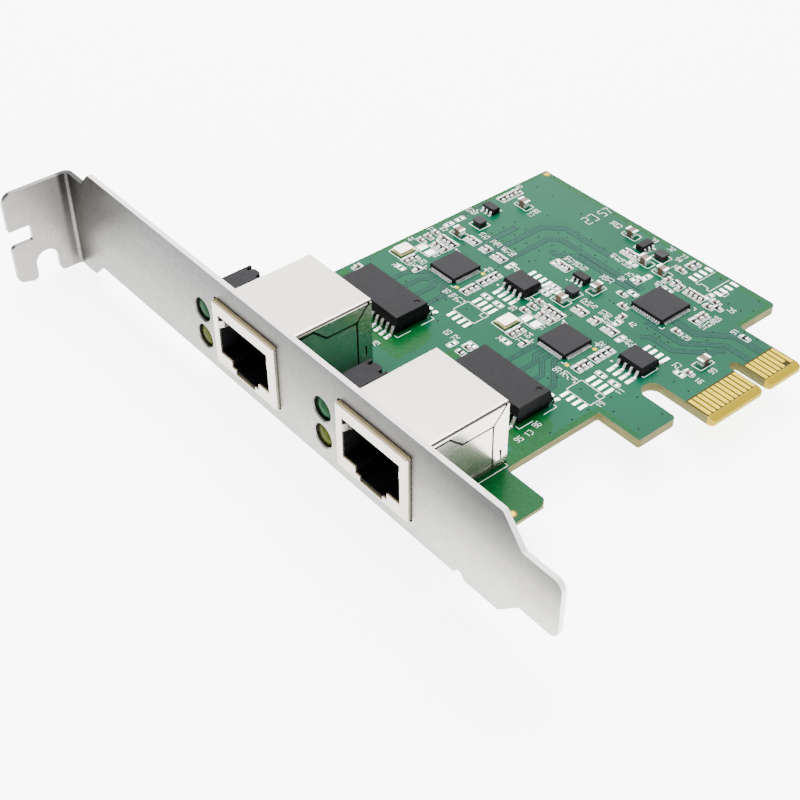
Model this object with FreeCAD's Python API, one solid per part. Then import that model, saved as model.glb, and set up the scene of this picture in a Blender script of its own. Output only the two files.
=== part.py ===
"""Two-port network interface card: slot bracket, circuit board, jacks and surface-mounted parts.

Frame, in millimetres: X runs along the bracket towards the edge contacts, Y runs from the
bracket into the case, and Z is out of the component side of the board.  The origin is the
middle of the key notch, at the contact edge, on the component side's surface.
"""
import FreeCAD, Part
import math
import os

V = FreeCAD.Vector

# ---------------------------------------------------------------- driving dimensions
# Bracket
SHEET = 0.86                    # thickness of the bracket's sheet steel
BRACKET_LENGTH = 120.02         # from the tab's outer face to the end of the tongue
BRACKET_WIDTH = 18.42
TONGUE_END_X = 15.13            # end of the tongue, beyond the contact edge
OUTER_FACE_Y = -59.3            # outer face of the strip
TOP_EDGE_Z = 15.18              # long edge on the component side
TAB_OFFSET = 3.0                # the tab's width lies this much lower than the strip's
TAB_SHIFT_START = 5.6           # the strip starts to shift over this far from the tab
TAB_REACH = 12.2                # from the strip's outer face to the free edge of the tab
TAB_CORNER = 2.0
BEND_INSIDE = 0.6               # inside radius of the sheet's bends
NOTCH_WIDTH = 3.1               # square notch in the free edge of the tab
NOTCH_DEPTH = 4.1
NOTCH_FROM_EDGE = 7.1           # from the tab's upper edge to the notch
SLOT_WIDTH = 4.3                # slot for the case screw
SLOT_DEPTH = 5.3
SLOT_FROM_FACE = 6.25           # slot's middle from the strip's outer face
TONGUE_WIDTH = 10.19
TONGUE_DROP = 4.5               # from the strip's upper edge to the tongue's
TONGUE_LENGTH = 7.1
SHOULDER_RUN = 3.7              # length of the sloping shoulders
TONGUE_CORNER = 1.6
EDGE_NOTCH_WIDTH = 2.2          # small notch in the strip's lower edge
EDGE_NOTCH_DEPTH = 1.0
EDGE_NOTCH_X = -3.4
EAR_WIDTH = 8.0                 # ears that carry the board
EAR_REACH = 8.2
EAR_HOLE = 3.2
SCREW_HEAD = 1.9                # height of the board screws' heads
SCREW_HEAD_RADIUS = 2.8
CROSS_LENGTH = 3.0
CROSS_WIDTH = 0.6
CROSS_DEPTH = 1.0

# Board
BOARD = 1.57                    # thickness
BOARD_HEIGHT = 65.9             # from the contact edge to the far long edge
BOARD_END_Y = 17.1              # free end of the board
BOARD_FRONT_GAP = 0.3           # board's front edge behind the bracket's inner face
WAIST = 12.4                    # the plain edges lie this far above the contact edge
KEY_NOTCH_WIDTH = 1.9
KEY_NOTCH_DEPTH = 7.3
TONGUE_SHORT_END = 8.15         # contact tongues, measured from the key notch's middle
TONGUE_LONG_END = 12.15
HOOK_NOTCH_WIDTH = 3.7          # round-ended notch beside the long tongue
HOOK_NOTCH_DEPTH = 12.3
HOLD_LUG_WIDTH = 7.95
HOLD_LUG_GAP = 4.15             # the lugs stop this far above the contact edge
FRONT_LUG_Y = -42.6             # the lug at the bracket starts here
CORNER_TRIM = 0.9
EDGE_BEVEL = 1.0                # length of the bevel along the contact edge
EDGE_BEVEL_DEPTH = 0.4

# Edge contacts
PAD_PITCH = 1.0
PAD_WIDTH = 0.72
PAD_START = 1.35                # from the contact edge
PAD_LENGTH = 4.1
SHORT_PAD_START = 2.15
PAD_SKIN = 0.05
LONG_TONGUE_PAD_COUNT = 11
SHORT_TONGUE_PAD_COUNT = 7
FIRST_PAD = 1.5                 # nearest pad to the key notch's middle

# Network jacks
PORT_X = -51.7                  # middle of the first jack
PORT_PITCH = 30.48
PORT_WIDTH = 15.8
PORT_TOP = 11.35
PORT_DEPTH = 18.5
PORT_PROUD = 0.75               # stands out of the bracket's outer face
PORT_LIP = 0.6                  # the front drops this far below the board's surface
PORT_CLEARANCE = 0.2            # round the jack in the bracket's cut-out
SHIELD = 0.3                    # wall of the folded shield
SHIELD_CORNER = 0.55
MOUTH_WIDTH = 12.6
MOUTH_BOTTOM = 1.9
MOUTH_TOP = 9.2
KEYWAY_WIDTH = 7.0
KEYWAY_BOTTOM = 0.7
LATCH_WIDTH = 5.0
LATCH_BOTTOM = -0.15
LATCH_FLOOR = 0.3               # moulded floor under the latch
CAVITY_DEPTH = 13.2
FINGER_LEAN = 0.95              # how far the spring fingers stand into the mouth
FINGER_LENGTH = 4.2
SEAM_WIDTH = 0.26               # folds and overlaps of the shield's side panels
SEAM_DEPTH = 0.22
WIRE_PITCH = 1.02
WIRE = 0.35
WIRE_COUNT = 8
PIN_RADIUS = 0.45
PIN_SIDE_COUNT = 6                   # plain many-sided pins, since there are sixteen
SOLDER_SPREAD = 0.25            # the solder stands out this far round a pin
SOLDER_COLLAR = 0.35
PIN_TAIL = 0.9                  # pins stand out below the board

# Light guides beside each jack
LAMP_OFFSET = 12.0              # from the jack's middle
LAMP_LOW = 1.4
LAMP_PITCH = 5.15
LAMP_HOLE = 4.0
LAMP_DIAMETER = 2.7             # the body that fills its socket
LENS_DIAMETER = 3.5             # the domed head in the bracket's hole
LENS_RIM = 0.2                  # straight edge of the head behind its dome
HOLE_CHAMFER = 0.2              # on the outside of each lamp hole
LAMP_RECESS = 0.25              # lens tip behind the bracket's outer face
HOLDER_WIDTH = 4.1
HOLDER_TOP = 9.0
HOLDER_BACK = -48.6
HOLDER_SLOT = 0.65              # slots in the holder's back, beside its middle
HOLDER_SLOT_DEPTH = 1.1
HOLDER_CHEEK = 0.45             # what stands outside each slot
SOCKET_DEPTH = 5.0

# Integrated circuits
CHANNEL_PITCH = 26.0            # the two channels' parts repeat at this distance
CONTROLLER_X = -53.4
CONTROLLER_Y = -16.1
CONTROLLER_SIZE = 6.0
CONTROLLER_PAD_COUNT = 13
CONTROLLER_PITCH = 0.4
BRIDGE_X = -24.0
BRIDGE_Y = 2.3
BRIDGE_SIZE = 6.7
BRIDGE_PAD_COUNT = 12
BRIDGE_PITCH = 0.5
FLAT_CHIP = 0.9                 # height of the leadless packages
CHIP_PAD = 0.45                 # solder pad length outside the package
CRYSTAL_X = -63.0
CRYSTAL_Y = -19.5
FLASH_X = -42.25
FLASH_Y = -11.25
FLASH_LENGTH = 5.0
FLASH_WIDTH = 3.95
FLASH_TOP = 1.7
FLASH_SPAN = 6.6
LEAD_PITCH = 1.27
TRANSFORMER_X = -53.4
TRANSFORMER_PITCH = 28.1
TRANSFORMER_Y = -31.6
TRANSFORMER_LENGTH = 15.1
TRANSFORMER_WIDTH = 7.1
TRANSFORMER_TOP = 3.0
TRANSFORMER_SPAN = 9.9
TRANSFORMER_LEAD_COUNT = 12
STANDOFF = 0.12                 # moulded packages clear the board by this
LAYOUT_HEIGHT = 65.9            # the parts' places along X are given for a board of this height

# ---------------------------------------------------------------- derived places
INNER_FACE_Y = OUTER_FACE_Y + SHEET
BOARD_FRONT_Y = INNER_FACE_Y + BOARD_FRONT_GAP
TAB_FACE_X = TONGUE_END_X - BRACKET_LENGTH
LOW_EDGE_Z = TOP_EDGE_Z - BRACKET_WIDTH
TAB_TOP_Z = TOP_EDGE_Z - TAB_OFFSET
TAB_LOW_Z = LOW_EDGE_Z - TAB_OFFSET
TAB_EDGE_Y = OUTER_FACE_Y - TAB_REACH
EAR_TOP_Z = -BOARD
PORT_FRONT_Y = OUTER_FACE_Y - PORT_PROUD
PORT_BACK_Y = PORT_FRONT_Y + PORT_DEPTH
PORTS = [PORT_X, PORT_X + PORT_PITCH]
LAMPS = [x - LAMP_OFFSET for x in PORTS]
LAMP_LEVELS = [LAMP_LOW, LAMP_LOW + LAMP_PITCH]
EARS = [PORT_X + PORT_WIDTH / 2 + 0.6 + EAR_WIDTH / 2,
        PORTS[1] + PORT_WIDTH / 2 + 0.6 + EAR_WIDTH / 2]
EAR_HOLE_Y = INNER_FACE_Y + EAR_REACH - EAR_WIDTH / 2


# ---------------------------------------------------------------- helpers
def laid(x):
    """Place of a part along X, in proportion to the board's height."""
    return x * BOARD_HEIGHT / LAYOUT_HEIGHT


def box(x0, x1, y0, y1, z0, z1):
    return Part.makeBox(x1 - x0, y1 - y0, z1 - z0, V(x0, y0, z0))


def rounded_wire(corners, place):
    """Closed wire through corners (a, b, radius); place turns (a, b) into a point."""
    count = len(corners)
    starts, ends, middles = [], [], []
    for i in range(count):
        a, b, radius = corners[i]
        pa, pb, _ = corners[i - 1]
        na, nb, _ = corners[(i + 1) % count]
        into = V(pa - a, pb - b, 0).normalize()
        away = V(na - a, nb - b, 0).normalize()
        here = V(a, b, 0)
        half = into.getAngle(away) / 2
        if radius == 0:
            starts.append(here)
            ends.append(here)
            middles.append(None)
            continue
        reach = radius / math.tan(half)
        bisector = (into + away).normalize()
        centre = here + bisector * (radius / math.sin(half))
        starts.append(here + into * reach)
        ends.append(here + away * reach)
        middles.append(centre - bisector * radius)
    edges = []
    for i in range(count):
        if middles[i] is not None:
            arc = Part.Arc(*[place(p.x, p.y) for p in (starts[i], middles[i], ends[i])])
            edges.append(arc.toShape())
        after = starts[(i + 1) % count]
        if ends[i].distanceToPoint(after) > 1e-6:
            edges.append(Part.makeLine(place(ends[i].x, ends[i].y), place(after.x, after.y)))
    return Part.Wire(edges)


def plate_xy(corners, z0, z1):
    wire = rounded_wire(corners, lambda a, b: V(a, b, z0))
    return Part.Face(wire).extrude(V(0, 0, z1 - z0))


def plate_xz(corners, y0, y1):
    wire = rounded_wire(corners, lambda a, b: V(a, y0, b))
    return Part.Face(wire).extrude(V(0, y1 - y0, 0))


def plate_yz(corners, x0, x1):
    wire = rounded_wire(corners, lambda a, b: V(x0, a, b))
    return Part.Face(wire).extrude(V(x1 - x0, 0, 0))


def square(x0, x1, y0, y1, radius=0):
    return [(x0, y0, radius), (x1, y0, radius), (x1, y1, radius), (x0, y1, radius)]


def moulded(x, y, length, width, z0, z1, waist, band, draft):
    """Moulded package: full size over a narrow band at its leads, drawn in above and below."""
    rings = []
    for z, inset in ((z0, draft), (waist, 0), (waist + band, 0), (z1, draft)):
        a = length / 2 - inset
        b = width / 2 - inset
        ring = [V(x - a, y - b, z), V(x + a, y - b, z), V(x + a, y + b, z), V(x - a, y + b, z)]
        rings.append(Part.makePolygon(ring + [ring[0]]))
    return Part.makeLoft(rings, True, True)


def gull_wings(x, y, width, span, count, pitch, wide, thick, shoulder_z, foot):
    """Two rows of bent leads beside a package whose rows run along X."""
    leads = []
    root = width / 2
    tip = span / 2
    knee = root + 0.25 * (tip - foot - root) + 0.1
    profile = [(root, shoulder_z + thick), (root, shoulder_z), (knee - 0.1, shoulder_z),
               (tip - foot, 0), (tip, 0), (tip, thick), (tip - foot + 0.12, thick),
               (knee, shoulder_z + thick)]
    for side in (-1, 1):
        for i in range(count):
            left = x + (i - (count - 1) / 2) * pitch - wide / 2
            points = [V(left, y + side * u, z) for u, z in profile]
            face = Part.Face(Part.makePolygon(points + [points[0]]))
            leads.append(face.extrude(V(wide, 0, 0)))
    return leads


def side_pads(x, y, size, count, pitch, reach, wide, height):
    """Solder pads round the four sides of a leadless package."""
    pads = []
    for side in (-1, 1):
        near = side * size / 2
        far = side * (size / 2 + reach)
        low, high = min(near, far), max(near, far)
        for i in range(count):
            along = (i - (count - 1) / 2) * pitch
            pads.append(box(x + low, x + high, y + along - wide / 2, y + along + wide / 2, 0, height))
            pads.append(box(x + along - wide / 2, x + along + wide / 2, y + low, y + high, 0, height))
    return pads


def cylinder(radius, height, centre, direction):
    return Part.makeCylinder(radius, height, centre, direction)


def prism(sides, radius, x, y, z0, z1):
    """Upright bar with a regular many-sided section."""
    step = 2 * math.pi / sides
    points = [V(x + radius * math.cos(i * step), y + radius * math.sin(i * step), z0)
              for i in range(sides)]
    return Part.Face(Part.makePolygon(points + [points[0]])).extrude(V(0, 0, z1 - z0))


def trimmed(x0, x1, y0, y1, trim, only_high=False):
    """Rectangle with its corners cut off; only_high keeps the two at the low end of X square."""
    low = 0 if only_high else trim
    points = [(x0, y0 + low), (x0 + low, y0), (x1 - trim, y0), (x1, y0 + trim), (x1, y1 - trim),
              (x1 - trim, y1), (x0 + low, y1), (x0, y1 - low)]
    if only_high:
        points = points[1:7]
    return [(a, b, 0) for a, b in points]


def save(name, solids):
    if not isinstance(solids, list):
        solids = [solids]
    shape = solids[0] if len(solids) == 1 else Part.makeCompound(solids)
    shape.exportStep(os.path.join("parts", name + ".step"))
    print("%-26s %3d solids  %9.2f mm3" % (name, len(shape.Solids), shape.Volume))


# ---------------------------------------------------------------- bracket
def bracket_outline():
    """Edge of the flat strip and its tongue, seen from outside the case."""
    tab_side = TAB_FACE_X + TAB_SHIFT_START
    tongue_top = TOP_EDGE_Z - TONGUE_DROP
    tongue_low = tongue_top - TONGUE_WIDTH
    tongue_start = TONGUE_END_X - TONGUE_LENGTH
    low_shoulder = tongue_low - LOW_EDGE_Z
    half = EDGE_NOTCH_WIDTH / 2
    return [
        (TAB_FACE_X, TAB_TOP_Z, 0),
        (tab_side, TAB_TOP_Z, 0.8),
        (tab_side + TAB_OFFSET, TOP_EDGE_Z, 0.8),
        (tongue_start - SHOULDER_RUN, TOP_EDGE_Z, 0.6),
        (tongue_start, tongue_top, 0.6),
        (TONGUE_END_X, tongue_top, TONGUE_CORNER),
        (TONGUE_END_X, tongue_low, TONGUE_CORNER),
        (tongue_start, tongue_low, 0.6),
        (tongue_start - low_shoulder, LOW_EDGE_Z, 0.6),
        (EDGE_NOTCH_X + half, LOW_EDGE_Z, 0.3),
        (EDGE_NOTCH_X + half / 3, LOW_EDGE_Z + EDGE_NOTCH_DEPTH, 0.3),
        (EDGE_NOTCH_X - half / 3, LOW_EDGE_Z + EDGE_NOTCH_DEPTH, 0.3),
        (EDGE_NOTCH_X - half, LOW_EDGE_Z, 0.3),
        (tab_side + TAB_OFFSET, LOW_EDGE_Z, 0.8),
        (tab_side, TAB_LOW_Z, 0.8),
        (TAB_FACE_X, TAB_LOW_Z, 0),
    ]


def folded_strip():
    """Sheet bent outwards at the tab, over the widest part of the bracket."""
    outer = BEND_INSIDE + SHEET
    section = [
        (TAB_FACE_X, TAB_EDGE_Y, 0),
        (TAB_FACE_X + SHEET, TAB_EDGE_Y, 0),
        (TAB_FACE_X + SHEET, OUTER_FACE_Y, BEND_INSIDE),
        (TONGUE_END_X, OUTER_FACE_Y, 0),
        (TONGUE_END_X, INNER_FACE_Y, 0),
        (TAB_FACE_X, INNER_FACE_Y, outer),
    ]
    return plate_xy(section, TAB_LOW_Z, TOP_EDGE_Z)


def tab_outline():
    """Edge of the tab in the Y-Z plane, with its square notch and the open screw slot."""
    notch_top = TAB_TOP_Z - NOTCH_FROM_EDGE
    notch_low = notch_top - NOTCH_WIDTH
    slot_y = OUTER_FACE_Y - SLOT_FROM_FACE
    half = SLOT_WIDTH / 2
    return [
        (INNER_FACE_Y, TAB_LOW_Z, 0),
        (slot_y + half, TAB_LOW_Z, 0.9),
        (slot_y + half, TAB_LOW_Z + SLOT_DEPTH, half - 0.01),
        (slot_y - half, TAB_LOW_Z + SLOT_DEPTH, half - 0.01),
        (slot_y - half, TAB_LOW_Z, 0.9),
        (TAB_EDGE_Y, TAB_LOW_Z + 1.0, 1.3),
        (TAB_EDGE_Y, notch_low, 0.9),
        (TAB_EDGE_Y + NOTCH_DEPTH, notch_low, 0.4),
        (TAB_EDGE_Y + NOTCH_DEPTH, notch_top, 0.4),
        (TAB_EDGE_Y, notch_top, 0.3),
        (TAB_EDGE_Y, TAB_TOP_Z, TAB_CORNER),
        (INNER_FACE_Y, TAB_TOP_Z, 0),
    ]


def ear(x):
    """Ear bent under the board, with its screw hole."""
    outer = BEND_INSIDE + SHEET
    low = EAR_TOP_Z - SHEET
    section = [
        (INNER_FACE_Y, low, 0),
        (INNER_FACE_Y + EAR_REACH, low, 0),
        (INNER_FACE_Y + EAR_REACH, EAR_TOP_Z, 0),
        (INNER_FACE_Y, EAR_TOP_Z, 0),
    ]
    blade = plate_yz(section, x - EAR_WIDTH / 2, x + EAR_WIDTH / 2)
    end = INNER_FACE_Y + EAR_REACH
    face = square(x - EAR_WIDTH / 2, x + EAR_WIDTH / 2, INNER_FACE_Y - outer, end, 0)
    face[2] = (x + EAR_WIDTH / 2, end, 2.0)
    face[3] = (x - EAR_WIDTH / 2, end, 2.0)
    hole = cylinder(EAR_HOLE / 2, 3 * SHEET, V(x, EAR_HOLE_Y, low - SHEET), V(0, 0, 1))
    return blade.common(plate_xy(face, low, EAR_TOP_Z)).cut(hole)


def make_bracket():
    strip = folded_strip()
    strip = strip.common(plate_xz(bracket_outline(), TAB_EDGE_Y - 1, INNER_FACE_Y + 1))
    bend_end = TAB_FACE_X + SHEET + BEND_INSIDE
    tab = strip.common(plate_yz(tab_outline(), TAB_FACE_X - 1, bend_end))
    plain = strip.common(box(bend_end, TONGUE_END_X + 1, TAB_EDGE_Y - 1, INNER_FACE_Y + 1,
                             TAB_LOW_Z - 1, TOP_EDGE_Z + 1))
    shape = plain.fuse(tab)
    for x in EARS:
        shape = shape.fuse(ear(x))
    for x in PORTS:
        half = PORT_WIDTH / 2 + PORT_CLEARANCE
        window = square(x - half, x + half, -PORT_LIP - PORT_CLEARANCE,
                        PORT_TOP + PORT_CLEARANCE, SHIELD_CORNER)
        shape = shape.cut(plate_xz(window, OUTER_FACE_Y - 1, INNER_FACE_Y + 1))
    for x in LAMPS:
        for z in LAMP_LEVELS:
            hole = V(x, OUTER_FACE_Y, z)
            shape = shape.cut(cylinder(LAMP_HOLE / 2, 2 * SHEET, hole, V(0, 1, 0)))
            shape = shape.cut(Part.makeCone(LAMP_HOLE / 2 + HOLE_CHAMFER, LAMP_HOLE / 2, HOLE_CHAMFER,
                                            hole, V(0, 1, 0)))
    return shape.removeSplitter()


def make_screws():
    """Pan-head screws through the board into the bracket's ears."""
    screws = []
    tip = EAR_TOP_Z - SHEET - 0.5
    for x in EARS:
        shank = cylinder(EAR_HOLE / 2 - 0.05, -tip, V(x, EAR_HOLE_Y, tip), V(0, 0, 1))
        head = cylinder(SCREW_HEAD_RADIUS, SCREW_HEAD, V(x, EAR_HOLE_Y, 0), V(0, 0, 1))
        rim = [e for e in head.Edges if e.BoundBox.ZMin > SCREW_HEAD - 0.01]
        head = head.makeChamfer(0.6, rim)
        for along, across in ((CROSS_LENGTH, CROSS_WIDTH), (CROSS_WIDTH, CROSS_LENGTH)):
            head = head.cut(box(x - along / 2, x + along / 2, EAR_HOLE_Y - across / 2,
                                EAR_HOLE_Y + across / 2, SCREW_HEAD - CROSS_DEPTH, SCREW_HEAD + 1))
        screws.append(head.fuse(shank))
    return screws


# ---------------------------------------------------------------- board
def board_outline():
    half_key = KEY_NOTCH_WIDTH / 2
    hook_low = -TONGUE_LONG_END - HOOK_NOTCH_WIDTH
    lug_low = hook_low - HOLD_LUG_WIDTH
    return [
        (-BOARD_HEIGHT, BOARD_FRONT_Y, 0.4),
        (-HOLD_LUG_GAP, BOARD_FRONT_Y, 0.6),
        (-HOLD_LUG_GAP, FRONT_LUG_Y, 0.5),
        (-WAIST + 0.6, FRONT_LUG_Y, 0.5),
        (-WAIST, FRONT_LUG_Y + 0.8, 0.4),
        (-WAIST, lug_low, 0.4),
        (-HOLD_LUG_GAP, lug_low, 0.4),
        (-HOLD_LUG_GAP, hook_low, 0.7),
        (-HOOK_NOTCH_DEPTH, hook_low, HOOK_NOTCH_WIDTH / 2 - 0.01),
        (-HOOK_NOTCH_DEPTH, -TONGUE_LONG_END, HOOK_NOTCH_WIDTH / 2 - 0.01),
        (0, -TONGUE_LONG_END, 0.5),
        (0, -half_key, 0.5),
        (-KEY_NOTCH_DEPTH, -half_key, half_key - 0.01),
        (-KEY_NOTCH_DEPTH, half_key, half_key - 0.01),
        (0, half_key, 0.5),
        (0, TONGUE_SHORT_END, 0.5),
        (-WAIST, TONGUE_SHORT_END, 0.5),
        (-WAIST, BOARD_END_Y, CORNER_TRIM),
        (-BOARD_HEIGHT, BOARD_END_Y, 0.4),
    ]


def pin_places(x):
    """Two staggered rows of signal pins behind the plug cavity."""
    rows = []
    for i in range(WIRE_COUNT):
        along = (i - (WIRE_COUNT - 1) / 2) * WIRE_PITCH
        rows.append((x + along, PORT_BACK_Y - (3.0 if i % 2 else 5.54)))
    return rows


def make_board():
    shape = plate_xy(board_outline(), -BOARD, 0)
    bevel = [(0, 0.01, 0), (0, -EDGE_BEVEL_DEPTH, 0), (-EDGE_BEVEL, 0.01, 0)]
    for flip in (False, True):
        corners = [(a, -BOARD - b, 0) for a, b, _ in bevel] if flip else bevel
        corners = [(a + 0.01 if a == 0 else a, b, 0) for a, b, _ in corners]
        shape = shape.cut(plate_xz(corners, -TONGUE_LONG_END - 1, TONGUE_SHORT_END + 1))
    for x in EARS:
        shape = shape.cut(cylinder(EAR_HOLE / 2, BOARD + 2, V(x, EAR_HOLE_Y, -BOARD - 1), V(0, 0, 1)))
    for x in PORTS:
        for px, py in pin_places(x):
            shape = shape.cut(prism(PIN_SIDE_COUNT, PIN_RADIUS, px, py, -BOARD - 1, 1))
        for leg in shield_leg_places(x):
            shape = shape.cut(leg_slot(leg))
    return shape


def contact_places():
    """Middle of each pad along Y, and whether it is the short one."""
    places = [(-FIRST_PAD - i * PAD_PITCH, False) for i in range(LONG_TONGUE_PAD_COUNT)]
    last_but_one = SHORT_TONGUE_PAD_COUNT - 2
    places += [(FIRST_PAD + i * PAD_PITCH, i == last_but_one) for i in range(SHORT_TONGUE_PAD_COUNT)]
    return places


def make_contacts(front):
    pads = []
    for y, short in contact_places():
        start = SHORT_PAD_START if short else PAD_START
        end = PAD_START + PAD_LENGTH
        corners = trimmed(-end, -start, y - PAD_WIDTH / 2, y + PAD_WIDTH / 2, PAD_WIDTH / 4, True)
        if front:
            pads.append(plate_xy(corners, 0, PAD_SKIN))
        else:
            pads.append(plate_xy(corners, -BOARD - PAD_SKIN, -BOARD))
    return pads


# ---------------------------------------------------------------- jacks
def mouth_steps(low, latch_low):
    """Stepped opening for a plug: the cavity, the keyway below it and the latch slot."""
    half = MOUTH_WIDTH / 2
    key = KEYWAY_WIDTH / 2
    latch = LATCH_WIDTH / 2
    return [(-half, low, 0), (-key, low, 0), (-key, KEYWAY_BOTTOM, 0), (-latch, KEYWAY_BOTTOM, 0),
            (-latch, latch_low, 0), (latch, latch_low, 0), (latch, KEYWAY_BOTTOM, 0),
            (key, KEYWAY_BOTTOM, 0), (key, low, 0), (half, low, 0), (half, MOUTH_TOP, 0),
            (-half, MOUTH_TOP, 0)]


def moved(corners, x):
    return [(a + x, b, r) for a, b, r in corners]


def shield_leg_places(x):
    """Board locks: one blade folded down from each side wall."""
    inside = PORT_WIDTH / 2 - SHIELD / 2
    return [(x - inside, PORT_BACK_Y - 9.0), (x + inside, PORT_BACK_Y - 9.0)]


def leg_slot(leg):
    x, y = leg
    return box(x - SHIELD / 2, x + SHIELD / 2, y - 0.9, y + 0.9, -BOARD - 1, 1)


def shield_seams(x):
    """Shallow lines where the folded side panel overlaps the wrap, on both sides."""
    back = PORT_BACK_Y
    path = [(back - 0.4, PORT_TOP - 0.1), (back - 2.9, 8.3), (back - 8.6, 8.35),
            (back - 10.9, 10.5), (back - 13.9, 10.5)]
    down = [(back - 2.9, 8.3), (back - 2.8, 0)]
    cuts = []
    for line in (path, down):
        for (y0, z0), (y1, z1) in zip(line, line[1:]):
            along = V(0, y1 - y0, z1 - z0).normalize() * SEAM_WIDTH / 2
            across = V(0, -along.z, along.y)
            a = V(x - PORT_WIDTH, y0, z0) - along
            b = V(x - PORT_WIDTH, y1, z1) + along
            ring = [a - across, b - across, b + across, a + across]
            cuts.append(Part.Face(Part.makePolygon(ring + [ring[0]])).extrude(V(2 * PORT_WIDTH, 0, 0)))
    inside = PORT_WIDTH / 2 - SEAM_DEPTH
    keep = box(x - inside, x + inside, PORT_FRONT_Y, back, -5, 20)
    return [c.cut(keep) for c in cuts]


def make_shield(x):
    half = PORT_WIDTH / 2
    outer = plate_xz(square(x - half, x + half, -PORT_LIP, PORT_TOP, SHIELD_CORNER),
                     PORT_FRONT_Y, PORT_BACK_Y)
    rim = [e for e in outer.Edges if e.BoundBox.YMax < PORT_FRONT_Y + 0.01]
    outer = outer.makeChamfer(0.25, rim)
    behind = box(x - half - 1, x + half + 1, BOARD_FRONT_Y - 0.1, PORT_BACK_Y + 1, -PORT_LIP - 1, 0)
    inner = box(x - half + SHIELD, x + half - SHIELD, PORT_FRONT_Y + SHIELD, PORT_BACK_Y - SHIELD,
                -PORT_LIP + SHIELD, PORT_TOP - SHIELD)
    mouth = plate_xz(moved(mouth_steps(MOUTH_BOTTOM, LATCH_BOTTOM), x), PORT_FRONT_Y - 1,
                     PORT_FRONT_Y + SHIELD)
    under = box(x - half + SHIELD, x + half - SHIELD, BOARD_FRONT_Y - 0.1, PORT_BACK_Y - SHIELD,
                -PORT_LIP - 1, 1)
    shape = outer.cut(inner).cut(behind).cut(mouth).cut(under)
    for seam in shield_seams(x):
        shape = shape.cut(seam)
    for leg_x, leg_y in shield_leg_places(x):
        shape = shape.fuse(box(leg_x - SHIELD / 2, leg_x + SHIELD / 2, leg_y - 0.9, leg_y + 0.9,
                               -BOARD - PIN_TAIL, 0.2))
    for side in (-1, 1):
        window = box(x + side * half - 0.5, x + side * half + 0.5, PORT_BACK_Y - 2.3,
                     PORT_BACK_Y - 1.1, 1.2, 3.1)
        catch = [(side * half + x, PORT_BACK_Y - 1.25), (side * half + x, PORT_BACK_Y - 2.15)]
        shape = shape.cut(window)
        wedge = Part.makePolygon([V(catch[0][0] - side * SHIELD, catch[0][1], 1.2),
                                  V(catch[0][0] - side * 0.05, catch[0][1], 1.2),
                                  V(catch[0][0] - side * SHIELD, catch[0][1], 2.9),
                                  V(catch[0][0] - side * SHIELD, catch[0][1], 1.2)])
        shape = shape.fuse(Part.Face(wedge).extrude(V(0, -0.9, 0)))
        shape = shape.fuse(spring_finger(x, side))
    return shape.removeSplitter()


def spring_finger(x, side):
    """Finger cut from the front plate's side and bent back into the mouth to meet the plug."""
    edge = x + side * MOUTH_WIDTH / 2
    y = PORT_FRONT_Y
    thick = 0.18
    root = FINGER_LEAN * 0.25
    points = [(edge, y + 0.05), (edge, y + SHIELD), (edge - side * root, y + 0.9),
              (edge - side * FINGER_LEAN, y + FINGER_LENGTH),
              (edge - side * (FINGER_LEAN + thick), y + FINGER_LENGTH),
              (edge - side * (root + thick), y + 0.75), (edge - side * thick, y + 0.05)]
    ring = [V(a, b, 6.75) for a, b in points]
    return Part.Face(Part.makePolygon(ring + [ring[0]])).extrude(V(0, 0, 1.25))


def make_housing(x):
    """Moulded insulator that fills the shield, with the plug cavity in its front."""
    half = PORT_WIDTH / 2 - SHIELD
    front = PORT_FRONT_Y + SHIELD
    shape = box(x - half, x + half, front, PORT_BACK_Y - SHIELD, 0, PORT_TOP - SHIELD)
    steps = moved(mouth_steps(MOUTH_BOTTOM, LATCH_FLOOR), x)
    shape = shape.cut(plate_xz(steps, front - 1, front + CAVITY_DEPTH))
    comb = box(x - WIRE_COUNT * WIRE_PITCH / 2, x + WIRE_COUNT * WIRE_PITCH / 2,
               front + CAVITY_DEPTH - 0.1, front + CAVITY_DEPTH + 0.8, 3.4, MOUTH_TOP)
    return shape.cut(comb)


def make_wires(x):
    """Eight contact springs that hang from the cavity's ceiling and slope to the comb."""
    wires = []
    front = PORT_FRONT_Y + SHIELD
    root = front + 2.6
    tip = front + 9.6
    thick = 0.25
    profile = [(root, MOUTH_TOP), (root, MOUTH_TOP - thick), (root + 1.6, MOUTH_TOP - thick),
               (tip, 6.75), (tip + 0.1, 6.75 + thick), (root + 1.7, MOUTH_TOP)]
    for i in range(WIRE_COUNT):
        left = x + (i - (WIRE_COUNT - 1) / 2) * WIRE_PITCH - WIRE / 2
        ring = [V(left, y, z) for y, z in profile]
        wires.append(Part.Face(Part.makePolygon(ring + [ring[0]])).extrude(V(WIRE, 0, 0)))
    return wires


def make_pins(x):
    """Soldered tails: pins that fill their plated holes, with a collar of solder below the board."""
    pins = []
    for px, py in pin_places(x):
        pin = prism(PIN_SIDE_COUNT, PIN_RADIUS, px, py, -BOARD - PIN_TAIL, 0)
        collar = prism(PIN_SIDE_COUNT, PIN_RADIUS + SOLDER_SPREAD, px, py, -BOARD - SOLDER_COLLAR, -BOARD)
        pins.append(pin.fuse(collar))
    return pins


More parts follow.
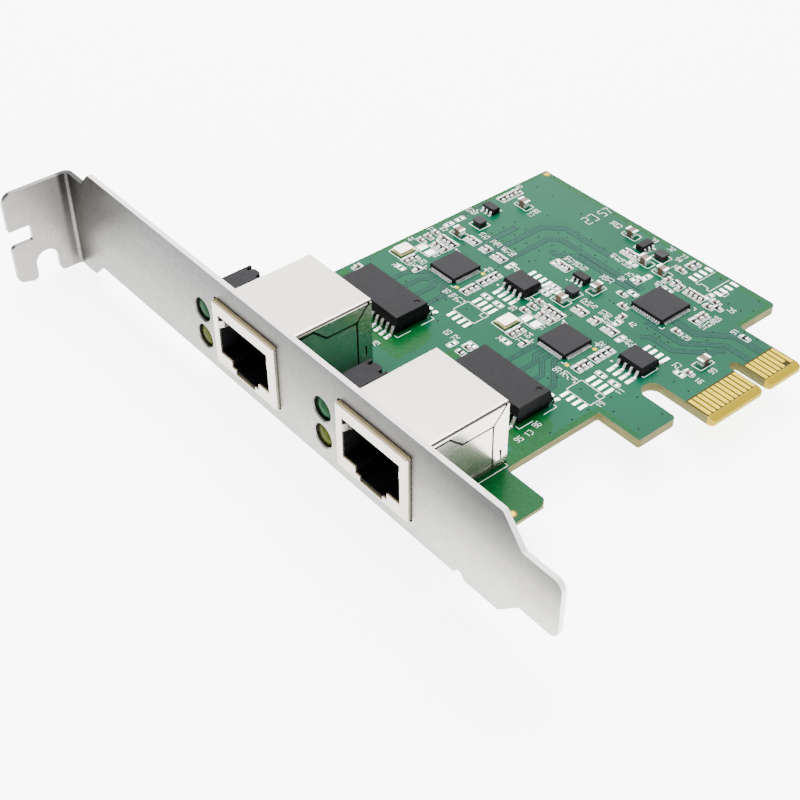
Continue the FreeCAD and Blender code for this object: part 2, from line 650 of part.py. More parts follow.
# ---------------------------------------------------------------- lamps
def make_holder(x):
    """Two-level lamp holder: a bar with two slots in its back and a round socket for each lamp."""
    half = HOLDER_WIDTH / 2
    front = INNER_FACE_Y
    inner = half - HOLDER_CHEEK
    core = inner - HOLDER_SLOT
    floor = HOLDER_BACK - HOLDER_SLOT_DEPTH
    outline = [(-half, front, 0), (half, front, 0), (half, HOLDER_BACK, 0.2),
               (inner, HOLDER_BACK, 0), (inner, floor, 0), (core, floor, 0),
               (core, HOLDER_BACK, 0.5), (-core, HOLDER_BACK, 0.5), (-core, floor, 0),
               (-inner, floor, 0), (-inner, HOLDER_BACK, 0), (-half, HOLDER_BACK, 0.2)]
    shape = plate_xy(moved(outline, x), 0, HOLDER_TOP)
    for z in LAMP_LEVELS:
        shape = shape.cut(cylinder(LAMP_DIAMETER / 2, SOCKET_DEPTH, V(x, front, z), V(0, 1, 0)))
    return shape


def make_lamp(x, z):
    """Lens turned about its axis: a domed head in the bracket's hole and a body in its socket."""
    tip = OUTER_FACE_Y + LAMP_RECESS
    radius = LENS_DIAMETER / 2
    body = LAMP_DIAMETER / 2
    dome = INNER_FACE_Y - LENS_RIM - tip
    steps = [i * math.pi / 6 for i in range(4)]
    ring = [V(x + radius * math.sin(a), tip + dome * (1 - math.cos(a)), z) for a in steps]
    back = INNER_FACE_Y + SOCKET_DEPTH
    ring += [V(x + radius, INNER_FACE_Y, z), V(x + body, INNER_FACE_Y, z), V(x + body, back, z),
             V(x, back, z)]
    face = Part.Face(Part.makePolygon(ring + [ring[0]]))
    return face.revolve(V(x, tip, z), V(0, 1, 0), 360)


# ---------------------------------------------------------------- packages
def make_flat_chip(x, y, size):
    half = size / 2
    shape = box(x - half, x + half, y - half, y + half, 0, FLAT_CHIP)
    return shape.makeChamfer(0.08, [e for e in shape.Edges if e.BoundBox.ZMin > FLAT_CHIP - 0.01])


def make_flash_chip(x, y):
    return moulded(x, y, FLASH_LENGTH, FLASH_WIDTH, STANDOFF, FLASH_TOP, 0.8, 0.2, 0.18)


def make_transformer(x, y):
    shape = moulded(x, y, TRANSFORMER_LENGTH, TRANSFORMER_WIDTH, STANDOFF, TRANSFORMER_TOP,
                    1.25, 0.25, 0.38)
    corner = (x + TRANSFORMER_LENGTH / 2 - 1.6, y + TRANSFORMER_WIDTH / 2 - 1.5)
    return shape.cut(cylinder(0.55, 1, V(corner[0], corner[1], TRANSFORMER_TOP - 0.12), V(0, 0, 1)))


# ---------------------------------------------------------------- small parts
REGULATORS = [(-62.5, 0.3, 0), (-37.4, -2.3, 0), (-37.1, 12.6, 90)]


def make_regulator(x, y, turn):
    """Six-lead regulator turned by so many degrees: returns its body and its leads."""
    shapes = [moulded(0, 0, 2.9, 1.6, STANDOFF, 1.15, 0.55, 0.15, 0.1)]
    shapes += gull_wings(0, 0, 1.6, 2.8, 3, 0.95, 0.4, 0.15, 0.55, 0.35)
    for shape in shapes:
        shape.rotate(V(0, 0, 0), V(0, 0, 1), turn)
        shape.translate(V(laid(x), y, 0))
    return shapes[0], shapes[1:]


def make_inductor(x, y):
    """Ferrite power inductor: a wound core under a wider square plate with trimmed corners."""
    x = laid(x)
    core = box(x - 0.9, x + 0.9, y - 0.75, y + 0.75, 0, 0.6)
    return core.fuse(plate_xy(trimmed(x - 1.05, x + 1.05, y - 0.9, y + 0.9, 0.2), 0.6, 1.05))


INDUCTORS = [(-60.6, -4.1), (-35.8, -6.1), (-33.3, 12.6)]


def chip_part(x, y, length, width, height, along_x, cap):
    """Chip capacitor or resistor: returns its ceramic body and its two end caps."""
    x = laid(x)
    a, b = (length / 2, width / 2) if along_x else (width / 2, length / 2)
    if along_x:
        body = box(x - a + cap, x + a - cap, y - b, y + b, 0, height)
        ends = [box(x - a, x - a + cap, y - b, y + b, 0, height),
                box(x + a - cap, x + a, y - b, y + b, 0, height)]
    else:
        body = box(x - a, x + a, y - b + cap, y + b - cap, 0, height)
        ends = [box(x - a, x + a, y - b, y - b + cap, 0, height),
                box(x - a, x + a, y + b - cap, y + b, 0, height)]
    return body, ends


LARGE_CAPACITORS = [(-60.0, 5.9, True), (-60.7, -8.8, True), (-41.2, 13.7, True),
                    (-34.2, 9.5, True), (-30.2, 9.5, True), (-34.0, -2.3, False),
                    (-35.6, -8.8, True), (-9.9, -3.4, False)]


def channel_parts(shift):
    """Small parts round one controller: (x, y, lies along X, is a resistor)."""
    x = CONTROLLER_X + shift
    y = CONTROLLER_Y
    parts = []
    for group, count in ((-5.1, 3), (-1.3, 2), (1.6, 3)):
        for i in range(count):
            parts.append((x + group + i * 0.85, y + 7.7, False, i % 2 == 0))
    for i in range(4):
        parts.append((x + 5.9, y + 4.1 - i * 1.15, True, True))
    for i in range(3):
        parts.append((x + 5.9, y - 0.9 - i * 1.1, True, i != 1))
    for i in range(3):
        parts.append((x - 10.0, y + 4.4 - i * 1.7, True, False))
    for i in range(4):
        parts.append((x - 8.2 + i * 1.0, y + 4.2, False, i % 2 == 1))
    for i in range(3):
        parts.append((x - 7.6 + i * 1.2, y + 2.2, False, i == 1))
    for i in range(3):
        parts.append((x - 6.9, y - 3.0 - i * 1.0, True, i == 0))
    parts.append((x - 3.9, y - 5.0, False, True))
    return parts


def bridge_parts():
    """Small parts round the bridge chip."""
    parts = []
    for i in range(3):
        parts.append((-28.3 + i * 1.4, 8.6 + (i % 2) * 0.4, False, i == 1))
    for i in range(4):
        parts.append((-23.9 + i * 0.95, 8.9, False, False))
    for i in range(3):
        parts.append((-19.0 + (i % 2) * 1.2, 10.0 - i * 0.9, True, i == 1))
    for i in range(3):
        parts.append((-17.9, 6.0 - i * 1.15, True, i == 2))
    for i in range(2):
        parts.append((-28.3, 15.7 - i * 1.3, True, i == 0))
    parts += [(-28.6, 12.4, True, False), (-31.0, 4.8, False, False), (-30.4, 0.1, True, True),
              (-28.0, -2.2, True, False), (-26.2, -4.5, False, False), (-17.9, -0.5, True, False),
              (-9.9, 6.4, True, True), (-9.8, -6.8, True, False)]
    for i in range(4):
        parts.append((-38.6 + i * 0.85, 9.4, False, i % 2 == 0))
    for i in range(3):
        parts.append((-42.8 + i * 0.85, -1.8, False, i % 2 == 1))
    return parts


def edge_parts():
    """Small parts along the far long edge and between the jacks."""
    parts = [(-63.9, 8.2 - i * 1.0, True, i % 2 == 0) for i in range(5)]
    parts += [(-64.4, -28.4, False, False), (-36.3, -28.6, True, False), (-36.0, -30.2, True, True)]
    return parts


def make_small_parts():
    groups = {"capacitor_bodies": [], "capacitor_ends": [], "resistor_bodies": [], "resistor_ends": []}
    places = channel_parts(0) + channel_parts(CHANNEL_PITCH) + bridge_parts() + edge_parts()
    for x, y, along_x, is_resistor in places:
        kind = "resistor" if is_resistor else "capacitor"
        height = 0.35 if is_resistor else 0.5
        body, ends = chip_part(x, y, 1.05, 0.55, height, along_x, 0.24)
        groups[kind + "_bodies"].append(body)
        groups[kind + "_ends"] += ends
    return groups


def make_crystal(x, y):
    x = laid(x)
    base = box(x - 1.25, x + 1.25, y - 1.6, y + 1.6, 0, 0.45)
    lid = plate_xy(trimmed(x - 1.1, x + 1.1, y - 1.45, y + 1.45, 0.2), 0.45, 0.75)
    return base, lid


# ---------------------------------------------------------------- build
os.makedirs("parts", exist_ok=True)

save("bracket", make_bracket())
save("circuit_board", make_board())
save("edge_contacts_front", make_contacts(True))
save("edge_contacts_back", make_contacts(False))
save("board_screws", make_screws())

for number, port_x in enumerate(PORTS, 1):
    save("port_%d_shield" % number, make_shield(port_x))
    save("port_%d_housing" % number, make_housing(port_x))
    save("port_%d_wires" % number, make_wires(port_x))
    save("port_%d_pins" % number, make_pins(port_x))

for number, lamp_x in enumerate(LAMPS, 1):
    save("lamp_holder_%d" % number, make_holder(lamp_x))
    save("yellow_lamp_%d" % number, make_lamp(lamp_x, LAMP_LEVELS[0]))
    save("green_lamp_%d" % number, make_lamp(lamp_x, LAMP_LEVELS[1]))

for number in (1, 2):
    shift = (number - 1) * CHANNEL_PITCH
    chip_x = laid(CONTROLLER_X + shift)
    flash_x = laid(FLASH_X + shift)
    save("controller_%d" % number, make_flat_chip(chip_x, CONTROLLER_Y, CONTROLLER_SIZE))
    save("controller_%d_pads" % number,
         side_pads(chip_x, CONTROLLER_Y, CONTROLLER_SIZE, CONTROLLER_PAD_COUNT, CONTROLLER_PITCH,
                   CHIP_PAD, 0.22, 0.2))
    save("flash_chip_%d" % number, make_flash_chip(flash_x, FLASH_Y))
    save("flash_chip_%d_leads" % number,
         gull_wings(flash_x, FLASH_Y, FLASH_WIDTH, FLASH_SPAN, 4, LEAD_PITCH, 0.45, 0.2,
                    0.8, 0.75))
    coil_x = laid(TRANSFORMER_X + (number - 1) * TRANSFORMER_PITCH)
    save("transformer_%d" % number, make_transformer(coil_x, TRANSFORMER_Y))
    save("transformer_%d_leads" % number,
         gull_wings(coil_x, TRANSFORMER_Y, TRANSFORMER_WIDTH, TRANSFORMER_SPAN, TRANSFORMER_LEAD_COUNT,
                    LEAD_PITCH, 0.5, 0.25, 1.25, 0.7))

save("bridge_chip", make_flat_chip(laid(BRIDGE_X), BRIDGE_Y, BRIDGE_SIZE))
save("bridge_chip_pads", side_pads(laid(BRIDGE_X), BRIDGE_Y, BRIDGE_SIZE, BRIDGE_PAD_COUNT, BRIDGE_PITCH,
                                   CHIP_PAD, 0.28, 0.2))
regulators = [make_regulator(x, y, turn) for x, y, turn in REGULATORS]
save("regulators", [body for body, leads in regulators])
save("regulator_leads", [lead for body, leads in regulators for lead in leads])
save("power_inductors", [make_inductor(x, y) for x, y in INDUCTORS])

crystals = [make_crystal(CRYSTAL_X + i * CHANNEL_PITCH, CRYSTAL_Y) for i in (0, 1)]
save("crystal_bases", [base for base, lid in crystals])
save("crystal_lids", [lid for base, lid in crystals])

large = [chip_part(x, y, 2.0, 1.25, 1.25, along_x, 0.45) for x, y, along_x in LARGE_CAPACITORS]
save("large_capacitor_bodies", [body for body, ends in large])
save("large_capacitor_ends", [end for body, ends in large for end in ends])

for name, solids in make_small_parts().items():
    save(name, solids)
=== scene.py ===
import math
import bmesh
import bpy
from bpy.props import FloatProperty, FloatVectorProperty
from mathutils import Matrix, Vector


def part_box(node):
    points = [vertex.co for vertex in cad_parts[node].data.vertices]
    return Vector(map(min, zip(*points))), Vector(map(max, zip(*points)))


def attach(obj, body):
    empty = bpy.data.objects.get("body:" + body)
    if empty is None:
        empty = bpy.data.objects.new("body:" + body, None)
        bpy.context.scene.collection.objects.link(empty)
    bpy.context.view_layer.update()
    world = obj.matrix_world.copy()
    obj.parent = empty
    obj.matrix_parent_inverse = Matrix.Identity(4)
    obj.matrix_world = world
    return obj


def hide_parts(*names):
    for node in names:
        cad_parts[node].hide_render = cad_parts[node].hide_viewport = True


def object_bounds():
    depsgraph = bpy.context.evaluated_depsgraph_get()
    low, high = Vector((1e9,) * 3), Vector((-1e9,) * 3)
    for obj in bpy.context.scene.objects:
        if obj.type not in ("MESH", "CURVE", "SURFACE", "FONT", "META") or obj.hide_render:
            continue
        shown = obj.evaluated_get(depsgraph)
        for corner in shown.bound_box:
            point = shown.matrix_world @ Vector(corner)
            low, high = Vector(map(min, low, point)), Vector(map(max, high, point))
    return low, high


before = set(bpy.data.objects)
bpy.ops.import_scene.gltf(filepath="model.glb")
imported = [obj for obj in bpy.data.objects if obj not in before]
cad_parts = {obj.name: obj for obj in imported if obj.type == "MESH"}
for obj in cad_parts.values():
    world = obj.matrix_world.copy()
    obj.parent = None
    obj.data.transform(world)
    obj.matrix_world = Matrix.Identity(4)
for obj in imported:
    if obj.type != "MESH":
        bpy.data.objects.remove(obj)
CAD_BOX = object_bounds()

bl_info = {
    "name": "Network Interface Card",
    "version": (1, 0, 0),
    "blender": (4, 5, 0),
    "location": "3D View > Sidebar > Network Card",
    "description": "Finishes, printing and small board detail for a two-port network interface card",
    "category": "Object",
}


def middle(node):
    """Centre of a CAD node in millimetres."""
    low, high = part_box(node)
    return (low + high) / 2 / MM


def sides(node):
    """Lowest and highest x, then lowest and highest y, of a CAD node in millimetres."""
    low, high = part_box(node)
    return low.x / MM, high.x / MM, low.y / MM, high.y / MM


# The frame is in metres, and so is a length times MM. All other lengths are in millimetres.
MM = 0.001
SHEET = 0.86 * MM                               # thickness of the bracket
BRACKET_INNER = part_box("lamp_holder_1")[0].y    # y of the face that the lamp holders stand against
BRACKET_FACE = BRACKET_INNER - SHEET            # y of the outer face
TONGUE_START = -13.5 * MM                       # y where the contact tongues begin
MASK_END = -5.76 * MM                           # x where the mask ends on the tongues
BEVEL_START = -1.3 * MM                         # x where the tongues' bevel begins

# Shifts of the two ports' like parts along X, then heights above the board and sizes
CHANNEL_SHIFTS = (0.0, middle("controller_2").x - middle("controller_1").x)
INK_HEIGHT = 0.03
COPPER_HEIGHT = 0.012
PAD_HEIGHT = COPPER_HEIGHT * 2
TOE_HEIGHT = 0.05
LEAD_PITCH = 1.27
DIGIT_PITCH = 1.5    # in widths of a digit

# What all the colour settings share
COLOUR = {"subtype": "COLOR", "size": 3, "min": 0, "max": 1}


# ------------------------------------------------------------------ settings
class CARD_PG_finishes(bpy.types.PropertyGroup):
    """Colours of the card's finishes."""
    mask: FloatVectorProperty(
        name="Solder Mask", description="Green of the board's solder mask",
        default=(0.0007, 0.080, 0.038), **COLOUR)
    bundle: FloatVectorProperty(
        name="Track Green", description="Mask over a bundle of tracks",
        default=(0.005, 0.062, 0.043), **COLOUR)
    gap: FloatVectorProperty(
        name="Gap Green", description="Mask over the gaps beside the tracks",
        default=(0.0004, 0.020, 0.012), **COLOUR)
    bare: FloatVectorProperty(
        name="Bare Green", description="Mask over laminate without copper",
        default=(0.0, 0.074, 0.014), **COLOUR)
    laminate: FloatVectorProperty(
        name="Laminate Edge", description="Bare glass-epoxy edge of the board",
        default=(0.105, 0.095, 0.032), **COLOUR)
    nickel: FloatVectorProperty(
        name="Bracket Nickel", description="Satin nickel plate of the bracket",
        default=(0.405, 0.393, 0.372), **COLOUR)
    tin: FloatVectorProperty(
        name="Jack Tin", description="Bright tin plate of the jack shields",
        default=(0.60, 0.56, 0.49), **COLOUR)
    gold: FloatVectorProperty(
        name="Contact Gold", description="Gold plate of the edge contacts",
        default=(0.40, 0.285, 0.010), **COLOUR)
    plastic: FloatVectorProperty(
        name="Black Plastic", description="Moulded plastic of packages and insulators",
        default=(0.0048, 0.0045, 0.006), **COLOUR)
    ink: FloatVectorProperty(
        name="Printed White", description="White ink on the board",
        default=(0.97, 0.98, 0.96), **COLOUR)
    green_lens: FloatVectorProperty(
        name="Green Lens", description="Tint of the upper lamps",
        default=(0.003, 0.026, 0.009), **COLOUR)
    yellow_lens: FloatVectorProperty(
        name="Yellow Lens", description="Tint of the lower lamps",
        default=(0.026, 0.034, 0.002), **COLOUR)


class CARD_PG_printing(bpy.types.PropertyGroup):
    """Sizes of the printing and the copper on the board."""
    line_width: FloatProperty(
        name="Outline Width", description="Width of the printed outlines",
        default=0.115 * MM, min=0.05 * MM, max=0.5 * MM, subtype="DISTANCE", unit="LENGTH")
    gap_width: FloatProperty(
        name="Gap Width", description="Width of the gaps beside the copper tracks",
        default=0.13 * MM, min=0.05 * MM, max=0.5 * MM, subtype="DISTANCE", unit="LENGTH")
    via_radius: FloatProperty(
        name="Via Radius", description="Outer radius of the plated through holes",
        default=0.17 * MM, min=0.1 * MM, max=0.8 * MM, subtype="DISTANCE", unit="LENGTH")
    numeral_height: FloatProperty(
        name="Numeral Height", description="Height of the plain numbers on the board",
        default=0.95 * MM, min=0.5 * MM, max=4 * MM, subtype="DISTANCE", unit="LENGTH")


class CARD_PG_studio(bpy.types.PropertyGroup):
    """Camera and light of the stage."""
    lens: FloatProperty(
        name="Focal Length", description="Camera focal length on a 36 mm sensor",
        default=64.11, min=20, max=200)
    distance: FloatProperty(
        name="Camera Distance", description="From the camera to the point it aims at",
        default=0.214013, min=0.1, max=2, subtype="DISTANCE", unit="LENGTH")
    azimuth: FloatProperty(
        name="Azimuth", description="Turn of the camera round the upright axis",
        default=math.radians(50.736), subtype="ANGLE", unit="ROTATION")
    elevation: FloatProperty(
        name="Elevation", description="Height angle of the camera above the board",
        default=math.radians(40.925), subtype="ANGLE", unit="ROTATION")
    roll: FloatProperty(
        name="Roll", description="Lean of the camera about its line of sight",
        default=math.radians(-0.484), subtype="ANGLE", unit="ROTATION")
    floor_glow: FloatProperty(
        name="Floor Glow", description="Light that the floor itself gives",
        default=6.0, min=0, max=20)
    key_power: FloatProperty(
        name="Key Light", description="Power of the large overhead light in watts",
        default=9.0, min=0, max=100)
    back_power: FloatProperty(
        name="Back Light", description="Power of the wide light behind the card in watts",
        default=6.0, min=0, max=100)
    sky: FloatProperty(
        name="Surrounding Light", description="Strength of the white light all round",
        default=0.25, min=0, max=10)


# ------------------------------------------------------------------ material helpers
def new_material(name):
    """Empty node material: returns it with its principled shader and its node tree."""
    material = bpy.data.materials.new(name)
    material.use_nodes = True
    tree = material.node_tree
    shader = tree.nodes["Principled BSDF"]
    return material, shader, tree


def add(tree, kind, **values):
    """New node with its settings."""
    node = tree.nodes.new(kind)
    for key, value in values.items():
        setattr(node, key, value)
    return node


def feed(tree, value, socket):
    """Sets a socket to a number or a colour, or links an output to it."""
    if isinstance(value, (int, float)):
        socket.default_value = value
    elif isinstance(value, tuple):
        socket.default_value = (*value, 1.0)
    else:
        tree.links.new(value, socket)


def place(tree, scale=(1, 1, 1), turn=(0.61, 0.47, 0.29)):
    """Object coordinates in metres, turned so that flat faces cut the noise at a slant."""
    coords = add(tree, "ShaderNodeTexCoord")
    mapping = add(tree, "ShaderNodeMapping")
    mapping.inputs["Scale"].default_value = scale
    mapping.inputs["Rotation"].default_value = turn
    tree.links.new(coords.outputs["Object"], mapping.inputs["Vector"])
    return mapping.outputs["Vector"]


def split(tree, vector):
    """The X, Y and Z outputs of a vector."""
    node = add(tree, "ShaderNodeSeparateXYZ")
    tree.links.new(vector, node.inputs["Vector"])
    return [node.outputs[axis] for axis in "XYZ"]


def position(tree):
    """X, Y and Z of the shaded point in the frame, in metres."""
    return split(tree, place(tree, turn=(0, 0, 0)))


def facing(tree):
    """X, Y and Z of the direction that the surface faces."""
    return split(tree, add(tree, "ShaderNodeNewGeometry").outputs["Normal"])


def noise(tree, fineness, detail, rough, stretch=(1, 1, 1)):
    """Cloudy factor on object coordinates; unequal stretches make streaks."""
    node = add(tree, "ShaderNodeTexNoise")
    node.inputs["Scale"].default_value = fineness
    node.inputs["Detail"].default_value = detail
    node.inputs["Roughness"].default_value = rough
    tree.links.new(place(tree, stretch), node.inputs["Vector"])
    return node.outputs["Fac"]


def ramp(tree, factor, stops):
    """Colour ramp from (position, colour) stops."""
    node = add(tree, "ShaderNodeValToRGB")
    elements = node.color_ramp.elements
    while len(elements) < len(stops):
        elements.new(0.5)
    for element, (at, colour) in zip(elements, stops):
        element.position = at
        element.color = (*colour, 1.0)
    tree.links.new(factor, node.inputs["Fac"])
    return node.outputs["Color"]


def spread(tree, factor, low, high, start=0.0, end=1.0):
    """Maps a factor between start and end onto the range from low to high."""
    node = add(tree, "ShaderNodeMapRange")
    node.inputs["From Min"].default_value = start
    node.inputs["From Max"].default_value = end
    node.inputs["To Min"].default_value = low
    node.inputs["To Max"].default_value = high
    tree.links.new(factor, node.inputs["Value"])
    return node.outputs["Result"]


def rise(tree, factor, start, end, top=1.0):
    """Zero up to start, then a straight rise that reaches its top at end."""
    return spread(tree, factor, 0.0, top, start, end)


def fall(tree, factor, start, end):
    """One up to start, then a straight fall that reaches zero at end."""
    return spread(tree, factor, 1.0, 0.0, start, end)


def mix(tree, factor, first, second, blend="MIX"):
    """Blend of two colours by a factor."""
    node = add(tree, "ShaderNodeMix", data_type="RGBA", blend_type=blend)
    feed(tree, factor, node.inputs["Factor"])
    feed(tree, first, node.inputs["A"])
    feed(tree, second, node.inputs["B"])
    return node.outputs["Result"]


def maths(tree, operation, first, second):
    """One sum on two numbers or outputs."""
    node = add(tree, "ShaderNodeMath", operation=operation)
    feed(tree, first, node.inputs[0])
    feed(tree, second, node.inputs[1])
    return node.outputs["Value"]


def both(tree, first, second):
    """Where two masks hold together."""
    return maths(tree, "MULTIPLY", first, second)


def outside(tree, mask):
    """The rest of a mask."""
    return maths(tree, "SUBTRACT", 1.0, mask)


def shade(colour, factor):
    """The colour made lighter or darker by a factor."""
    return tuple(min(1.0, c * factor) for c in colour)


def clouded(tree, cloud, tint, dark, light, end=0.65):
    """A tint that drifts between a dark and a light shade of itself with a noise."""
    return mix(tree, rise(tree, cloud, 0.35, end), shade(tint, dark), shade(tint, light))


def rubbed(tree, grain, smooth, dull):
    """Roughness that follows a noise from smooth to dull."""
    return spread(tree, grain, smooth, dull, 0.3, 0.7)


def coat(tree, shader, tone, rough, metallic=0.0, specular=0.5):
    """Gives the shader its tone and roughness and the way it mirrors."""
    for name, value in (("Base Color", tone), ("Roughness", rough), ("Metallic", metallic),
                        ("Specular IOR Level", specular)):
        feed(tree, value, shader.inputs[name])


def bump(tree, shader, height, distance, strength):
    """Fine relief from a noise; the distance is in metres."""
    node = add(tree, "ShaderNodeBump")
    node.inputs["Strength"].default_value = strength
    node.inputs["Distance"].default_value = distance
    tree.links.new(height, node.inputs["Height"])
    tree.links.new(node.outputs["Normal"], shader.inputs["Normal"])


# ------------------------------------------------------------------ finishes
def painted_nickel_reflection(tree, x, y, z):
    """Painted reflection and shade on the plate: lighter along its length towards higher x, darker up its
    face and towards the upper corner at the high-x end, and an even, brighter tone on the folded flange.
    """
    # Painted reflection: lighter along the plate towards higher x.
    length = ramp(tree, rise(tree, x, -90 * MM, 10 * MM),
                  [(0.0, (0.33, 0.33, 0.325)), (0.45, (0.50, 0.50, 0.495)),
                   (0.72, (0.56, 0.56, 0.555)), (1.0, (0.93, 0.93, 0.92))])
    # Painted shade: darker up the face.
    painted_height_stops = ((0.15, 1.0), (0.33, 0.82), (0.44, 0.63), (0.56, 0.51), (0.67, 0.36), (0.78, 0.285),
              (0.89, 0.205), (1.0, 0.115))
    painted_height_shade = ramp(tree, rise(tree, z, -3 * MM, 15 * MM), [(at, (grey,) * 3) for at, grey in painted_height_stops])
    # Painted shade towards the upper corner at the high-x end.
    painted_corner_shade = both(tree, rise(tree, x, -18 * MM, 0.0, 0.78), rise(tree, z, 6.6 * MM, 14 * MM))
    painted_height_shade = mix(tree, painted_corner_shade, painted_height_shade, (0.0, 0.0, 0.0))
    # Painted light: the folded flange gets an even, brighter tone.
    painted_tab_light = fall(tree, y, BRACKET_FACE - 2.1 * MM, BRACKET_FACE - 1.4 * MM)
    return length, mix(tree, painted_tab_light, painted_height_shade, (1.5, 1.5, 1.5))


def painted_edge_highlight(tree, x, y, z):
    """Mask of the painted near-white highlight on the cut edge along the strip's top side and its end."""
    cut = fall(tree, maths(tree, "ABSOLUTE", facing(tree)[1], 0.0), 0.3, 0.5)
    wall = both(tree, rise(tree, y, BRACKET_FACE - 0.05 * MM, BRACKET_FACE),
                fall(tree, y, BRACKET_INNER, BRACKET_INNER + 0.04 * MM))
    outer = maths(tree, "MAXIMUM", rise(tree, z, 14.6 * MM, 14.9 * MM),
                  rise(tree, x, -7.8 * MM, -7.5 * MM))
    return both(tree, both(tree, cut, wall), outer)


def satin_nickel(finishes):
    """Rolled and plated sheet: a fine mottle, faint rolling lines, a few dull specks, painted reflection
    and shade, and a painted highlight on the upper cut edges.
    """
    material, shader, tree = new_material("satin_nickel")
    mottle = noise(tree, 1100, 6, 0.7)
    lines = noise(tree, 1.0, 5, 0.6, stretch=(35, 900, 900))
    specks = noise(tree, 3800, 3, 0.6)
    tone = clouded(tree, noise(tree, 55, 3, 0.5), finishes.nickel, 0.93, 1.06)
    tone = mix(tree, rise(tree, mottle, 0.4, 0.7, 0.5), tone, shade(finishes.nickel, 0.8))
    tone = mix(tree, rise(tree, specks, 0.45, 0.7, 0.6), tone, shade(finishes.nickel, 0.62))
    x, y, z = position(tree)
    # Painted reflection and shade, multiplied into the colour.
    for painted_reflection in painted_nickel_reflection(tree, x, y, z):
        tone = mix(tree, 1.0, tone, painted_reflection, "MULTIPLY")
    # Painted highlight: the upper cut edges turn near-white and dull, not metal.
    edge_highlight_mask = painted_edge_highlight(tree, x, y, z)
    tone = mix(tree, edge_highlight_mask, tone, (0.93, 0.86, 0.83))
    rough = maths(tree, "ADD", rubbed(tree, mottle, 0.31, 0.43), rubbed(tree, lines, -0.02, 0.03))
    coat(tree, shader, tone, rough, metallic=outside(tree, edge_highlight_mask))
    bump(tree, shader, maths(tree, "ADD", mottle, lines), 0.00004, 0.22)
    return material


def bright_tin(finishes):
    """Smooth plated shield with a soft waviness, dull specks and a few rubbed lines; the rim in front of
    the bracket gets a painted darker reflection and its upward faces a painted tan sheen.
    """
    material, shader, tree = new_material("bright_tin")
    specks = noise(tree, 2600, 4, 0.7)
    streaks = noise(tree, 1.0, 5, 0.65, stretch=(1200, 30, 1200))
    tone = mix(tree, rise(tree, specks, 0.45, 0.75, 0.5), finishes.tin[:], shade(finishes.tin, 0.9))
    _, y, _ = position(tree)
    across, _, upward = facing(tree)
    # Painted reflection: the rim in front of the bracket face is darkened.
    painted_rim_shade = fall(tree, y, BRACKET_FACE - 0.1 * MM, BRACKET_FACE + 0.1 * MM)
    # Painted sheen: the rim's upward faces turn a dull tan, not metal.
    painted_rim_sheen = both(tree, painted_rim_shade, rise(tree, upward, 0.3, 0.6))
    tone = mix(tree, painted_rim_shade, tone, shade(finishes.tin, 0.62))
    tone = mix(tree, painted_rim_sheen, tone, (0.36, 0.285, 0.16))
    flanks = rise(tree, maths(tree, "ABSOLUTE", across, 0.0), 0.8, 0.95, 0.14)
    rough = maths(tree, "ADD", spread(tree, streaks, 0.18, 0.2, 0.35, 0.7),
                  rise(tree, specks, 0.4, 0.7, 0.02))
    coat(tree, shader, tone, rough, metallic=outside(tree, maths(tree, "ADD", painted_rim_sheen, flanks)))
    bump(tree, shader, noise(tree, 140, 3, 0.5), 0.0001, 0.04)
    return material


def solder_mask(finishes):
    """Glossy green mask over glass weave; the laminate shows at the cut edges and the contacts."""
    material, shader, tree = new_material("solder_mask")
    grain = noise(tree, 1800, 4, 0.6)
    green = clouded(tree, noise(tree, 60, 3, 0.5), finishes.mask, 0.88, 1.12)
    green = mix(tree, rise(tree, grain, 0.4, 0.7, 0.3), green, shade(finishes.mask, 0.8))
    fibres = noise(tree, 1.0, 3, 0.6, stretch=(500, 500, 4500))
    edge = clouded(tree, fibres, finishes.laminate, 0.75, 1.25)
    x, y, _ = position(tree)
    face = rise(tree, maths(tree, "ABSOLUTE", facing(tree)[2], 0.0), 0.93, 0.97)
    tongue = rise(tree, y, TONGUE_START - 0.1 * MM, TONGUE_START + 0.1 * MM)
    bare = both(tree, tongue, rise(tree, x, MASK_END - 0.02 * MM, MASK_END + 0.02 * MM))
    bevel = both(tree, tongue, rise(tree, x, BEVEL_START - 0.1 * MM, BEVEL_START + 0.1 * MM))
    edge = mix(tree, bevel, edge, (0.33, 0.235, 0.008))
    uncovered = both(tree, both(tree, bare, face), outside(tree, bevel))
    edge = mix(tree, uncovered, edge, (0.035, 0.026, 0.002))
    covered = both(tree, face, outside(tree, bare))
    rough = spread(tree, covered, 0.6, 0.26)
    coat(tree, shader, mix(tree, covered, edge, green), rough, specular=0.08)
    bump(tree, shader, grain, 0.00003, 0.12)
    return material


def gold_plate(finishes):
    """Plated contacts with fine wipe marks along them."""
    material, shader, tree = new_material("gold_plate")
    wipes = noise(tree, 1.0, 4, 0.6, stretch=(120, 3200, 3200))
    tone = clouded(tree, noise(tree, 500, 4, 0.6), finishes.gold, 0.92, 1.06)
    coat(tree, shader, tone, rubbed(tree, wipes, 0.2, 0.36), metallic=1.0)
    bump(tree, shader, wipes, 0.00002, 0.2)
    return material


def bright_lead(name, tint, smooth):
    """Plated leads, lids and solder, slightly frosted."""
    material, shader, tree = new_material(name)
    frost = noise(tree, 2600, 4, 0.6)
    tone = clouded(tree, frost, tint, 1.0, 0.82, end=0.7)
    coat(tree, shader, tone, rubbed(tree, frost, smooth, smooth + 0.14), metallic=1.0)
    bump(tree, shader, frost, 0.00003, 0.3)
    return material


